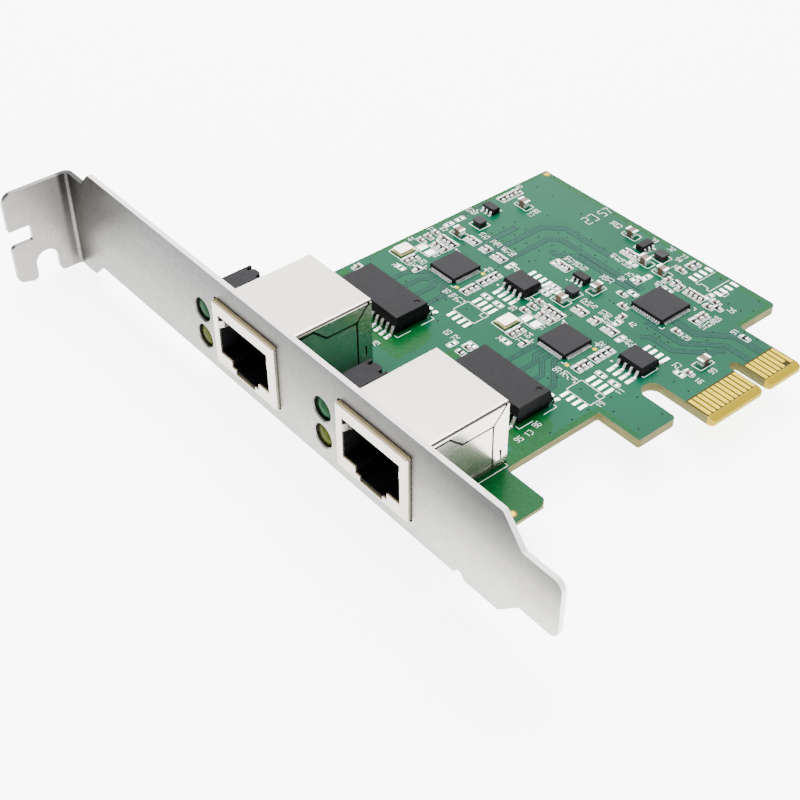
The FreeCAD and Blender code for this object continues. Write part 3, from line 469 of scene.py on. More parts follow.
def moulded_plastic(name, tint, gloss, fineness=1700):
    """Dark moulded compound with a fine spark-eroded grain."""
    material, shader, tree = new_material(name)
    grain = noise(tree, fineness, 6, 0.7)
    tone = clouded(tree, noise(tree, 180, 3, 0.5), tint, 0.85, 1.18)
    tone = mix(tree, rise(tree, grain, 0.45, 0.75, 0.4), tone, shade(tint, 1.7))
    coat(tree, shader, tone, rubbed(tree, grain, gloss, gloss + 0.16), specular=0.11)
    bump(tree, shader, grain, 0.00005, 0.5)
    return material


def fired_ceramic():
    """Brown bodies of the chip capacitors."""
    material, shader, tree = new_material("fired_ceramic")
    grain = noise(tree, 2400, 5, 0.65)
    tone = ramp(tree, noise(tree, 160, 2, 0.5),
                [(0.35, (0.10, 0.052, 0.028)), (0.65, (0.18, 0.105, 0.058))])
    tone = mix(tree, rise(tree, grain, 0.4, 0.7, 0.4), tone, (0.065, 0.036, 0.02))
    coat(tree, shader, tone, rubbed(tree, grain, 0.35, 0.55))
    bump(tree, shader, grain, 0.00004, 0.35)
    return material


def tinted_lens(name, tint):
    """Cast lens: glossy tinted plastic with faint flow marks."""
    material, shader, tree = new_material(name)
    flow = noise(tree, 700, 3, 0.5)
    tone = clouded(tree, flow, tint, 0.75, 1.3)
    coat(tree, shader, tone, rubbed(tree, flow, 0.12, 0.2), specular=0.01)
    bump(tree, shader, flow, 0.00003, 0.15)
    return material


def printed_ink(name, tint):
    """Slightly grainy screen-printed ink, or bare laminate in a mask window."""
    material, shader, tree = new_material(name)
    grain = noise(tree, 4200, 5, 0.7)
    tone = mix(tree, rise(tree, grain, 0.45, 0.75, 0.5), tint, shade(tint, 0.72))
    coat(tree, shader, tone, rubbed(tree, grain, 0.42, 0.6), specular=0.25)
    bump(tree, shader, grain, 0.00002, 0.3)
    return material


def masked_copper(name, tint):
    """Mask over copper or over bare laminate, in its own shade of green."""
    material, shader, tree = new_material(name)
    grain = noise(tree, 1500, 4, 0.6)
    tone = clouded(tree, grain, tint, 0.92, 1.1)
    coat(tree, shader, tone, rubbed(tree, grain, 0.22, 0.3), specular=0.08)
    bump(tree, shader, grain, 0.00002, 0.06)
    return material


# ------------------------------------------------------------------ mesh helpers
def finish_piece(name, bm, material):
    """Turns a bmesh into a named piece that rides on the card."""
    mesh = bpy.data.meshes.new(name)
    bm.normal_update()
    bm.to_mesh(mesh)
    bm.free()
    piece = bpy.data.objects.new(name, mesh)
    bpy.context.scene.collection.objects.link(piece)
    mesh.materials.append(material)
    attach(piece, "root")
    return piece


def slab(bm, x0, x1, y0, y1, height):
    """Box on the board between two x and two y, in millimetres."""
    centre = Vector(((x0 + x1) / 2, (y0 + y1) / 2, height / 2)) * MM
    size = Vector((x1 - x0, y1 - y0, height)) * MM
    matrix = Matrix.Translation(centre) @ Matrix.Diagonal((*size, 1.0))
    bmesh.ops.create_cube(bm, size=1.0, matrix=matrix)


def bar(bm, start, end, width, top, base):
    """Flat bar from one point to another, in millimetres."""
    a, b = Vector((*start, 0)), Vector((*end, 0))
    run = b - a
    turn = Matrix.Rotation(math.atan2(run.y, run.x), 4, "Z")
    centre = ((a + b) / 2 + Vector((0, 0, (base + top) / 2))) * MM
    size = Matrix.Diagonal(((run.length + width) * MM, width * MM, (top - base) * MM, 1.0))
    bmesh.ops.create_cube(bm, size=1.0, matrix=Matrix.Translation(centre) @ turn @ size)


def path(bm, points, width, top, base=0.0):
    """Flat bars from point to point, in millimetres."""
    for start, end in zip(points, points[1:]):
        bar(bm, start, end, width, top, base)


def disc(bm, x, y, radius, height, corners):
    """Round plate on the board, in millimetres."""
    matrix = Matrix.Translation(Vector((x, y, height / 2)) * MM)
    bmesh.ops.create_cone(bm, cap_ends=True, segments=corners, radius1=radius * MM, radius2=radius * MM,
                          depth=height * MM, matrix=matrix)


def plate(bm, points, height):
    """Flat plate on the board from its outline, in millimetres."""
    face = bm.faces.new([bm.verts.new(Vector((x, y, 0.0)) * MM) for x, y in points])
    raised = bmesh.ops.extrude_face_region(bm, geom=[face])["geom"]
    top = [item for item in raised if isinstance(item, bmesh.types.BMVert)]
    bmesh.ops.translate(bm, verts=top, vec=(0, 0, height * MM))
    made = {side for vert in face.verts[:] + top for side in vert.link_faces}
    bmesh.ops.recalc_face_normals(bm, faces=list(made))


def turned(length, width, along_x):
    """A length and a width as an x and a y."""
    return (length, width) if along_x else (width, length)


def end_pads(bm, x, y, along_x, reach, half_length, half_width, height):
    """Two pads, one at each end of a chip part's place, in millimetres."""
    half_x, half_y = turned(half_length, half_width, along_x)
    for side in (-reach, reach):
        dx, dy = turned(side, 0, along_x)
        slab(bm, x + dx - half_x, x + dx + half_x, y + dy - half_y, y + dy + half_y, height)


def pad_row(bm, x, pitch, count, half_width, y0, y1, height):
    """Row of like pads along X from the first one's middle, in millimetres."""
    for i in range(count):
        slab(bm, x + i * pitch - half_width, x + i * pitch + half_width, y0, y1, height)


def parts_of(node):
    """Low and high corners, in millimetres, of each separate solid in a CAD node."""
    bm = bmesh.new()
    bm.from_mesh(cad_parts[node].data)
    bmesh.ops.remove_doubles(bm, verts=bm.verts, dist=0.002 * MM)
    found = []
    waiting = set(bm.verts)
    while waiting:
        group = {waiting.pop()}
        front = list(group)
        while front:
            vert = front.pop()
            for edge in vert.link_edges:
                other = edge.other_vert(vert)
                if other in waiting:
                    waiting.discard(other)
                    group.add(other)
                    front.append(other)
        xs, ys, zs = zip(*[v.co / MM for v in group])
        found.append(((min(xs), min(ys), min(zs)), (max(xs), max(ys), max(zs))))
    bm.free()
    return sorted(found)


def lie(low, high):
    """Middle x and y of a solid, and whether it is longer along X than along Y."""
    return (low[0] + high[0]) / 2, (low[1] + high[1]) / 2, high[0] - low[0] > high[1] - low[1]


def chip_parts():
    """Middle and direction of each small chip capacitor and resistor."""
    nodes = ("capacitor_bodies", "resistor_bodies")
    return [lie(*corners) for node in nodes for corners in parts_of(node)]


# ------------------------------------------------------------------ operators
class CARD_OT_finishes(bpy.types.Operator):
    """Give every carried-over piece of the card its finish"""
    bl_idname = "card.finishes"
    bl_label = "Apply Finishes"

    def execute(self, context):
        finishes = context.scene.card_finishes
        lead = bright_lead("tinned_lead", (0.88, 0.88, 0.9), 0.2)
        gold = gold_plate(finishes)
        ceramic = fired_ceramic()
        glaze = moulded_plastic("resistor_glaze", (0.009, 0.009, 0.0105), 0.25, 3000)
        # The first row whose start and end both fit a node's name gives the node its finish.
        chosen = (
            ("bracket", "", satin_nickel(finishes)),
            ("circuit_board", "", solder_mask(finishes)),
            ("board_screws", "", bright_lead("zinc_steel", (0.72, 0.72, 0.72), 0.3)),
            ("power_inductors", "", moulded_plastic("ferrite", (0.03, 0.03, 0.034), 0.5, 2200)),
            ("crystal_bases", "", bright_lead("seal_ring", (0.78, 0.62, 0.3), 0.25)),
            ("crystal_lids", "", bright_lead("crystal_lid", (0.86, 0.82, 0.72), 0.32)),
            ("capacitor_bodies", "", ceramic),
            ("large_capacitor_bodies", "", ceramic),
            ("resistor_bodies", "", glaze),
            ("edge_contacts", "", gold),
            ("", "_wires", gold),
            ("", "_shield", bright_tin(finishes)),
            ("", "_pins", bright_lead("solder", (0.5, 0.5, 0.51), 0.3)),
            ("", "_housing", moulded_plastic("insulator", shade(finishes.plastic, 0.45), 0.42)),
            ("lamp_holder", "", moulded_plastic("holder_plastic", shade(finishes.plastic, 1.5), 0.45)),
            ("green_lamp", "", tinted_lens("green_lens", finishes.green_lens)),
            ("yellow_lamp", "", tinted_lens("yellow_lens", finishes.yellow_lens)),
            ("", "_pads", lead),
            ("", "_leads", lead),
            ("", "_ends", lead),
            ("transformer", "", moulded_plastic("coil_package", shade(finishes.plastic, 1.1), 0.42)),
            ("", "", moulded_plastic("chip_epoxy", shade(finishes.plastic, 1.35), 0.4, 2600)),
        )
        for name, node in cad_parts.items():
            material = next(finish for start, end, finish in chosen
                            if name.startswith(start) and name.endswith(end))
            node.data.materials.clear()
            node.data.materials.append(material)
        return {"FINISHED"}


class CARD_OT_lenses(bpy.types.Operator):
    """Turn the four smooth domed lenses in the bracket's lamp holes"""
    bl_idname = "card.lenses"
    bl_label = "Turn Lenses"

    def execute(self, context):
        finishes = context.scene.card_finishes
        dome = 0.5 * MM
        head_length = 1.7 * MM
        shoulder = 0.4 * MM
        quarter_turn = [math.radians(7.5 * i) for i in range(13)]
        for colour, tint in (("green", finishes.green_lens), ("yellow", finishes.yellow_lens)):
            material = tinted_lens(colour + "_glass", tint)
            for number in (1, 2):
                node = "%s_lamp_%d" % (colour, number)
                low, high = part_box(node)
                centre = (low + high) / 2
                head = (high.x - low.x) / 2
                step = low.y + head_length
                profile = [(head * math.sin(a), low.y + dome * (1 - math.cos(a)))
                           for a in quarter_turn]
                profile += [(head, step), (head - shoulder, step), (head - shoulder, high.y), (0, high.y)]
                bm = bmesh.new()
                verts = [bm.verts.new((centre.x + r, y, centre.z)) for r, y in profile]
                edges = [bm.edges.new(pair) for pair in zip(verts, verts[1:])]
                bmesh.ops.spin(bm, geom=verts + edges, cent=centre, axis=(0, 1, 0),
                               angle=2 * math.pi, steps=40, use_merge=True)
                bmesh.ops.remove_doubles(bm, verts=bm.verts, dist=0.0001 * MM)
                bmesh.ops.recalc_face_normals(bm, faces=bm.faces)
                for face in bm.faces:
                    face.smooth = face.calc_center_median().y < low.y + dome
                piece = finish_piece("%s_lens_%d" % (colour, number), bm, material)
                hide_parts(node)
        return {"FINISHED"}


class CARD_OT_seam_shadows(bpy.types.Operator):
    """Draw dark lines of painted shadow in the grooves where the jack shields' side panels overlap"""
    bl_idname = "card.seams"
    bl_label = "Draw Seams"

    def execute(self, context):
        # Dark bars in the grooves: painted shadow.
        dark = moulded_plastic("seam_shadow", (0.0022, 0.0024, 0.002), 0.6)
        width = 0.3
        proud = 0.012
        sunk = 0.2
        # The runs are drawn flat, as (y, z), and then stood up on the panels.
        upright = Matrix(((0, 0, 1), (1, 0, 0), (0, 1, 0))).to_4x4()
        for number in (1, 2):
            low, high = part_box("port_%d_shield" % number)
            back = high.y / MM
            overlap = [(back - 0.5, high.z / MM - 0.35), (back - 2.9, 8.3), (back - 8.6, 8.35),
                       (back - 10.9, 10.5), (back - 13.9, 10.5)]
            corner = [(back - 2.9, 8.3), (back - 2.8, 0.1)]
            bm = bmesh.new()
            for top, base in ((high.x / MM + proud, high.x / MM - sunk),
                              (low.x / MM + sunk, low.x / MM - proud)):
                path(bm, overlap, width, top, base)
                path(bm, corner, width, top, base)
            bmesh.ops.transform(bm, matrix=upright, verts=bm.verts)
            finish_piece("shield_seam_shadows_%d" % number, bm, dark)
        return {"FINISHED"}


# Copper runs in millimetres: (centre line, width, number of gaps inside)
BUNDLES = [
    ([(-53.0, -9.8), (-53.0, 3.4), (-50.0, 6.45), (-39.2, 6.45)], 1.1, 1),
    ([(-49.6, -9.8), (-49.6, 1.9), (-48.0, 3.5), (-29.0, 3.5)], 1.0, 1),
    ([(-46.9, -0.1), (-45.1, -0.1), (-42.6, 2.2), (-29.0, 2.2)], 1.15, 1),
    ([(-55.8, -9.0), (-55.8, 0.4)], 1.2, 0),
    ([(-21.0, 1.3), (-15.7, 1.3), (-11.2, 5.7), (-5.9, 5.7)], 1.3, 2),
    ([(-23.0, -2.2), (-15.6, -2.2), (-10.6, 2.7), (-5.9, 2.7)], 1.0, 1),
    ([(-20.8, -5.9), (-19.6, -4.7), (-15.2, -4.7), (-10.8, -0.4), (-10.8, 0.6), (-9.6, 1.7)], 0.9, 1),
    ([(-64.9, -4.5), (-64.9, 1.8)], 0.5, 0), ([(-38.0, -20.0), (-38.0, -11.5)], 0.5, 1),
]

# Outlines of the places under the mask that have no copper
CLEARINGS = [
    [(-65.3, -39.0), (-41.1, -39.0), (-41.1, -33.0), (-42.3, -31.0), (-44.6, -30.0), (-65.3, -30.0)],
    [(-37.5, -39.0), (-13.3, -39.0), (-13.3, -33.0), (-14.5, -31.0), (-16.8, -30.0), (-37.5, -30.0)],
    [(-14.6, -41.5), (-13.3, -41.5), (-13.3, -39.0), (-14.6, -39.0)],
    [(-13.3, -49.0), (-12.2, -49.0), (-12.2, -24.0), (-13.3, -24.0)],
    [(-12.2, -49.0), (-3.5, -49.0), (-3.5, -44.2), (-3.9, -43.3), (-4.8, -42.9), (-12.2, -42.9)],
    [(-65.7, 15.9), (-12.7, 15.9), (-12.7, 16.6), (-65.7, 16.6)],
    [(-65.7, -24.0), (-65.2, -24.0), (-65.2, 15.9), (-65.7, 15.9)],
    [(-13.2, 8.4), (-12.4, 8.4), (-12.4, 15.9), (-13.2, 15.9)],
    [(-13.2, -23.5), (-5.0, -23.5), (-5.0, -22.9), (-13.2, -22.9)],
]


def beside(points, offset):
    """The same run moved sideways, with its corners kept parallel."""
    sharpest = 0.4
    made = []
    for i, point in enumerate(points):
        here = Vector(point)
        into = (here - Vector(points[i - 1])).normalized() if i else None
        away = (Vector(points[i + 1]) - here).normalized() if i + 1 < len(points) else None
        along = ((into or away) + (away or into)).normalized()
        across = Vector((-along.y, along.x))
        stretch = 1.0 / max(sharpest, along.dot(away or into))
        made.append(tuple(here + across * offset * stretch))
    return made


def strip(run, width):
    """Outline of a strip along a run."""
    return beside(run, width / 2) + beside(run, -width / 2)[::-1]


def fan_out(channel):
    """The four runs from one controller's lower side down to its transformer, as lists of points."""
    chip = middle("controller_%d" % channel)
    coil = middle("transformer_%d" % channel)
    pad_pitch = 1.5
    coil_pitch = 3.0
    level_pitch = 1.1
    runs = []
    for i in range(4):
        top = chip.x - 2.3 + i * pad_pitch
        low = coil.x - 4.6 + i * coil_pitch
        depth = chip.y - 4.4 - level_pitch * min(i, 3 - i)
        slant = depth - abs(low - top)
        runs.append([(top, chip.y - 3.6), (top, depth), (low, slant), (low, coil.y + 4.6)])
    return runs


class CARD_OT_tracks(bpy.types.Operator):
    """Lay the bundles of tracks and the bare places that show through the mask"""
    bl_idname = "card.tracks"
    bl_label = "Lay Tracks"

    def execute(self, context):
        finishes = context.scene.card_finishes
        gap = context.scene.card_printing.gap_width / MM
        bands = bmesh.new()
        gaps = bmesh.new()
        fans = [(run, 0.8, 1) for channel in (1, 2) for run in fan_out(channel)]
        for run, width, inner in BUNDLES + fans:
            plate(bands, strip(run, width), COPPER_HEIGHT * 1.2)
            lines = [(-width / 2, gap), (width / 2, gap)]
            lines += [(width * ((i + 1) / (inner + 1) - 0.5), gap * 0.6) for i in range(inner)]
            for offset, line_width in lines:
                plate(gaps, strip(beside(run, offset), line_width), COPPER_HEIGHT * 1.8)
        bare = bmesh.new()
        for outline in CLEARINGS:
            plate(bare, outline, COPPER_HEIGHT * 0.7)
        covered = masked_copper("track_bundle", finishes.bundle)
        finish_piece("track_bundles", bands, covered)
        finish_piece("track_gaps", gaps, masked_copper("track_gap", finishes.gap))
        finish_piece("bare_places", bare, masked_copper("bare_place", finishes.bare))
        return {"FINISHED"}


# Middles of the vias, in millimetres
VIAS = [(-63.0, 16.4), (-59.0, 16.3), (-55.0, 16.4), (-47.6, 16.2), (-44.8, 16.2), (-63.0, 11.9),
        (-58.9, 11.9), (-51.6, 11.9), (-48.1, 11.9), (-55.0, 6.9), (-47.8, 7.5), (-44.8, 7.5),
        (-41.5, 7.4), (-47.9, 4.7), (-44.6, 4.7), (-41.1, 4.7), (-38.5, 4.7), (-35.5, 4.7),
        (-51.2, 5.9), (-49.9, 4.6), (-43.4, 0.6), (-57.2, 1.1), (-54.3, 1.1), (-51.2, 1.1),
        (-45.2, 1.4), (-47.9, 1.1), (-56.1, -0.1), (-55.5, -0.1), (-46.6, -0.1), (-57.2, -1.6),
        (-54.3, -1.7), (-51.2, -1.8), (-48.2, -1.7), (-45.2, -1.9), (-57.2, -4.4), (-54.3, -4.4),
        (-51.2, -4.4), (-47.0, -5.2), (-46.4, -4.2), (-28.7, 0.8), (-30.5, -2.7), (-29.6, -2.7),
        (-21.6, -3.4), (-31.6, -5.6), (-49.2, -10.2), (-19.8, -3.6), (-18.8, -3.6), (-17.6, -5.9),
        (-17.0, -3.5), (-17.5, 11.4), (-14.8, 15.7), (-15.0, 11.5), (-22.8, 15.6), (-13.6, 13.0),
        (-13.5, -11.0), (-13.5, -20.0), (-13.7, -24.6), (-13.7, -28.0), (-13.7, -32.5), (-11.0, -16.9),
        (-6.0, -16.9), (-11.0, -22.0), (-6.0, -22.0), (-13.4, 1.6), (-13.9, -7.6), (-9.9, -10.0),
        (-7.0, -10.0), (-8.4, 7.6), (-11.0, 7.6), (-12.0, -0.4), (-14.2, 3.8), (-44.5, -27.6),
        (-40.9, -28.4), (-40.0, -24.6), (-61.9, -40.5), (-64.8, -25.3), (-40.0, -6.6), (-33.0, -4.6)]

# Vias round each controller, from its middle
CHIP_VIAS = [(4.4, -5.6), (5.4, -6.8), (4.6, -8.0), (-4.3, -6.2), (-5.0, 4.6), (4.6, 4.9), (-4.4, 5.8),
             (-2.6, -8.6), (9.6, -6.0), (10.8, -7.9), (8.6, -7.7)]


class CARD_OT_vias(bpy.types.Operator):
    """Set the small through holes as near-black discs: painted shade of the holes' openings"""
    bl_idname = "card.vias"
    bl_label = "Set Vias"

    def execute(self, context):
        radius = context.scene.card_printing.via_radius / MM
        chips = [middle("controller_%d" % channel) for channel in (1, 2)]
        bm = bmesh.new()
        for x, y in VIAS + [(chip.x + dx, chip.y + dy) for chip in chips for dx, dy in CHIP_VIAS]:
            disc(bm, x, y, radius, PAD_HEIGHT, corners=12)
        # Near-black discs: painted shade of the open holes.
        dark = masked_copper("painted_via_shade", (0.0001, 0.0015, 0.0008))
        finish_piece("painted_via_shades", bm, dark)
        return {"FINISHED"}


# Middle and direction (True along X) of part places left empty, in millimetres
EMPTY_PLACES = [(-20.8, 10.5, False), (-19.8, 10.5, False), (-18.8, 10.5, False), (-18.6, 7.0, False),
                (-17.6, 7.0, False), (-38.9, -6.9, True), (-38.9, -8.1, True), (-38.9, -9.3, True),
                (-31.0, 6.6, False), (-32.0, 5.0, False), (-29.4, 1.6, True), (-43.9, -1.8, False),
                (-44.2, -17.3, True), (-41.4, -17.3, True), (-18.2, -17.3, True), (-15.4, -17.3, True),
                (-64.1, -8.2, False), (-64.1, -5.6, False), (-57.2, -7.9, False),
                (-36.3, -27.6, True), (-38.5, -29.8, False), (-10.6, -8.0, True), (-35.2, 7.6, True),
                (-25.6, -6.0, False), (-22.4, -8.6, False), (-48.0, -8.4, False), (-59.6, -22.9, True),
                (-33.6, -22.9, True), (-31.6, 13.4, False), (-26.4, 6.6, True)]

# Rows of plain numbers: middle of the first, quarter turns and, past one, their count and step
NUMBER_ROWS = [
    (-58.9, -5.9, 1, 3, 0.95), (-54.9, -5.9, 1, 2, 1), (-52.3, -5.9, 1, 3, 0.95),
    (-47.9, -8.4, 1, 3, 0.95), (-47.9, -21.4, 1, 3, 0.95), (-21.9, -21.4, 1, 3, 0.95),
    (-21.9, -8.4, 1, 3, 0.95), (-33.0, -5.9, 1, 3, 0.95), (-28.9, -5.9, 1, 2, 1),
    (-58.6, -12.2, 1, 3, 0, -1.9), (-58.4, -19.0, 1, 2, 0, -1.9),
    (-32.6, -12.2, 1, 3, 0, -1.9), (-32.4, -19.0, 1, 2, 0, -1.9),
    (-49.5, -12.0, 1), (-49.5, -21.4, 1), (-23.4, -12.0, 1), (-23.4, -21.6, 1),
    (-61.6, -21.9, 1), (-60.6, -23.0, 1), (-35.6, -22.0, 1), (-34.6, -23.1, 1),
    (-65.0, 9.4, 1, 3, 0.95), (-57.2, 6.3, 0), (-57.2, 4.9, 0),
    (-43.3, 0.4, 1, 5, 0.95), (-35.6, 1.3, 1), (-34.3, 1.3, 1),
    (-38.9, 6.9, 1, 5, 0.95), (-33.4, 5.0, 1), (-33.4, 3.2, 1),
    (-16.0, 6.9, 0, 4, 0, -1.1), (-15.9, -0.5, 0), (-16.0, 10.4, 0),
    (-23.8, -4.5, 0), (-28.6, 6.7, 1), (-27.6, 6.7, 1), (-44.6, 14.0, 1), (-45.7, 14.0, 1),
    (-31.0, 15.8, 0), (-31.0, 14.5, 0), (-12.0, 6.5, 1), (-7.8, -3.6, 1), (-7.6, -7.0, 0),
    (-12.2, -6.8, 1), (-29.8, 12.4, 1), (-64.9, -11.6, 1), (-64.9, -16.2, 1),
    (-39.2, -12.2, 1), (-39.2, -16.2, 1), (-41.2, -28.4, 1), (-39.4, -28.4, 1),
    (-46.4, -39.0, 1), (-16.2, -32.8, 1), (-58.6, -40.6, 0), (-13.6, -18.0, 1),
    (-13.4, -22.4, 1), (-19.6, 12.9, 1), (-33.9, 15.9, 0), (-37.6, 15.6, 0),
    (-64.0, -2.4, 1), (-65.0, -2.4, 1), (-59.4, -2.8, 1), (-63.5, -9.9, 0),
    (-27.6, -7.0, 1), (-26.6, -7.0, 1), (-38.8, -3.0, 0), (-15.6, -37.0, 1), (-15.6, -35.0, 1),
]

# Strokes of the plain digits, on a grid one wide and two high
STROKES = {
    "0": [(0, 0), (1, 0), (1, 2), (0, 2), (0, 0)],
    "1": [(0.2, 1.6), (0.6, 2), (0.6, 0)],
    "2": [(0, 2), (1, 2), (1, 1), (0, 1), (0, 0), (1, 0)],
    "3": [(0, 2), (1, 2), (1, 1), (0.3, 1), (1, 1), (1, 0), (0, 0)],
    "4": [(0.75, 0), (0.75, 2), (0, 0.7), (1, 0.7)],
    "5": [(1, 2), (0, 2), (0, 1.1), (1, 1.1), (1, 0), (0, 0)],
    "6": [(1, 2), (0, 2), (0, 0), (1, 0), (1, 1), (0, 1)],
    "7": [(0, 2), (1, 2), (0.4, 0)],
    "8": [(0, 0), (1, 0), (1, 2), (0, 2), (0, 0), (0, 1), (1, 1)],
    "9": [(1, 1), (0, 1), (0, 2), (1, 2), (1, 0), (0, 0)],
}


# Middles of the two gold dots and of the four test points
ALIGNMENT_DOTS = [(-64.85, 16.29), (-5.1, -48.1)]
TEST_POINTS = [(-49.3, -13.5), (-49.3, -19.4), (-23.2, -13.6), (-23.2, -19.7)]


def number_row(x, y, quarter, count=1, dx=0.0, dy=0.0):
    """Middle and quarter turns of each number in a row."""
    return [(x + i * dx, y + i * dy, quarter) for i in range(count)]


def numeral(bm, text, x, y, height, quarter, stroke):
    """Draws a plain number round (x, y), all in millimetres."""
    unit = height / 2
    start = -((len(text) - 1) * DIGIT_PITCH + 1) / 2
    for i, digit in enumerate(text):
        points = []
        for across, up in STROKES[digit]:
            u = (start + i * DIGIT_PITCH + across) * unit
            v = (up - 1) * unit
            points.append((x - v, y + u) if quarter else (x + u, y + v))
        path(bm, points, stroke, INK_HEIGHT)


def occupied():
    """Sides, in millimetres, of everything on the board, with some room round the small parts."""
    rooms = {"capacitor_bodies": 0.25, "resistor_bodies": 0.25, "large_capacitor_bodies": 0.5,
             "power_inductors": 0.5, "regulators": 0.5, "crystal_bases": 0.5}
    boxes = [(low[0] - room, high[0] + room, low[1] - room, high[1] + room)
             for node, room in rooms.items() for low, high in parts_of(node)]
    pairs = ("controller_%d", "transformer_%d", "transformer_%d_leads", "flash_chip_%d",
             "flash_chip_%d_leads", "port_%d_shield", "lamp_holder_%d")
    boxes += [sides(pair % number) for pair in pairs for number in (1, 2)]
    return boxes + [sides("bridge_chip")]


def is_free(boxes, x, y, half_x, half_y):
    """Whether a place with these half sizes is clear of all boxes."""
    return not any(x0 - half_x < x < x1 + half_x and y0 - half_y < y < y1 + half_y
                   for x0, x1, y0, y1 in boxes)


def empty_places():
    """Empty part places that no fitted part covers."""
    boxes = occupied()
    return [(x, y, along_x) for x, y, along_x in EMPTY_PLACES
            if is_free(boxes, x, y, *turned(0.8, 0.35, along_x))]


class CARD_OT_bare_pads(bpy.types.Operator):
    """Set the bare pads, test points and alignment dots that no part covers"""
    bl_idname = "card.bare_pads"
    bl_label = "Set Bare Pads"

    def execute(self, context):
        finishes = context.scene.card_finishes
        tinned = bmesh.new()
        for shift in CHANNEL_SHIFTS:
            # An empty eight-lead place, an empty two-pad place and the ends of the flash chip's pads
            for y0, y1 in ((-20.2, -18.3), (-25.6, -24.0)):
                pad_row(tinned, -44.5 + shift, LEAD_PITCH, 4, 0.3, y0, y1, PAD_HEIGHT)
            pad_row(tinned, -61.8 + shift, 2.0, 2, 0.65, -17.1, -15.4, PAD_HEIGHT)
            first = middle("flash_chip_1").x - 1.5 * LEAD_PITCH + shift
            for y0, y1 in ((-15.9, -13.6), (-8.7, -6.35)):
                pad_row(tinned, first, LEAD_PITCH, 4, 0.32, y0, y1, PAD_HEIGHT * 0.6)
        for y in (16.2, 14.8, 13.5, 12.2):
            for x0, x1 in ((-26.6, -25.1), (-21.1, -19.6)):
                slab(tinned, x0, x1, y - 0.32, y + 0.32, PAD_HEIGHT)
        for x, y, along_x in empty_places():
            end_pads(tinned, x, y, along_x, reach=0.52, half_length=0.26, half_width=0.3, height=PAD_HEIGHT)
        pad_tin = bright_lead("pad_tin", (0.93, 0.93, 0.93), 0.34)
        finish_piece("bare_pads", tinned, pad_tin)

        golden = bmesh.new()
        rings = bmesh.new()
        for x, y in ALIGNMENT_DOTS:
            disc(golden, x, y, 0.5, PAD_HEIGHT, corners=24)
            disc(rings, x, y, 0.78, COPPER_HEIGHT * 0.9, corners=28)
        for x, y in TEST_POINTS:
            disc(golden, x, y, 0.38, PAD_HEIGHT, corners=20)
        finish_piece("gold_dots", golden, gold_plate(finishes))
        laminate = printed_ink("bare_laminate", (0.10, 0.09, 0.02))
        finish_piece("mask_windows", rings, laminate)
        return {"FINISHED"}


def lead_toes(bm, number):
    """Solder at the feet of one transformer's leads, in front of each foot and under it."""
    front = 0.55
    under = 0.75
    side = 0.08
    middle_y = middle("transformer_%d" % number).y
    for low, high in parts_of("transformer_%d_leads" % number):
        if low[1] < middle_y:
            y0, y1 = low[1] - front, low[1] + under
        else:
            y0, y1 = high[1] - under, high[1] + front
        slab(bm, low[0] - side, high[0] + side, y0, y1, TOE_HEIGHT)


def chip_toes(bm, chip):
    """Solder beside the pads of a leadless chip: a low toe and a short rise up its side."""
    half_width = 0.15
    edge_zone = 0.2
    x0, x1, y0, y1 = sides(chip)
    for low, high in parts_of(chip + "_pads"):
        x, y, _ = lie(low, high)
        for side, sign, at, along, upright in ((x1, 1, x, y, True), (x0, -1, x, y, True),
                                               (y1, 1, y, x, False), (y0, -1, y, x, False)):
            if sign * at < sign * side - edge_zone:
                continue
            for reach, height in ((0.5, 0.06), (0.09, 0.36)):
                across = sorted((side, side + sign * reach))
                length = (along - half_width, along + half_width)
                slab(bm, *(across if upright else length), *(length if upright else across), height)


class CARD_OT_solder_fillets(bpy.types.Operator):
    """Run the solder up to the leads and the ends of the parts"""
    bl_idname = "card.solder_fillets"
    bl_label = "Run Solder Fillets"

    def execute(self, context):
        bm = bmesh.new()
        for number in (1, 2):
            lead_toes(bm, number)
        for low, high in parts_of("regulator_leads"):
            slab(bm, low[0] - 0.08, high[0] + 0.08, low[1] - 0.12, high[1] + 0.12, 0.035)
        for chip in ("controller_1", "controller_2", "bridge_chip"):
            chip_toes(bm, chip)
        for x, y, along_x in chip_parts():
            end_pads(bm, x, y, along_x, reach=0.65, half_length=0.13, half_width=0.26, height=TOE_HEIGHT)
        fillet_tin = bright_lead("fillet_tin", (0.93, 0.93, 0.93), 0.3)
        finish_piece("solder_fillets", bm, fillet_tin)
        return {"FINISHED"}


def print_box(bm, x0, x1, y0, y1, width):
    """Printed outline between two x and two y."""
    path(bm, [(x0, y0), (x1, y0), (x1, y1), (x0, y1), (x0, y0)], width, INK_HEIGHT)


def print_round(bm, x, y, along_x, half_length, half_width, width):
    """Printed outline round the middle of a part."""
    half_x, half_y = turned(half_length, half_width, along_x)
    print_box(bm, x - half_x, x + half_x, y - half_y, y + half_y, width)


def print_small_parts(bm, width):
    """Outlines of the small parts and of their empty places, and the regulators' dots."""
    for x, y, along_x in chip_parts():
        print_round(bm, x, y, along_x, 0.98, 0.48, width)
    for x, y, along_x in empty_places():
        print_round(bm, x, y, along_x, 0.98, 0.5, width)
    for corners in parts_of("large_capacitor_bodies"):
        print_round(bm, *lie(*corners), 0.95, 1.6, width)
    room = 0.35
    for node in ("power_inductors", "crystal_bases"):
        for low, high in parts_of(node):
            print_box(bm, low[0] - room, high[0] + room, low[1] - room, high[1] + room, width)
    for low, high in parts_of("regulators"):
        disc(bm, low[0] - 0.3, low[1] - 0.9, 0.15, INK_HEIGHT, corners=10)


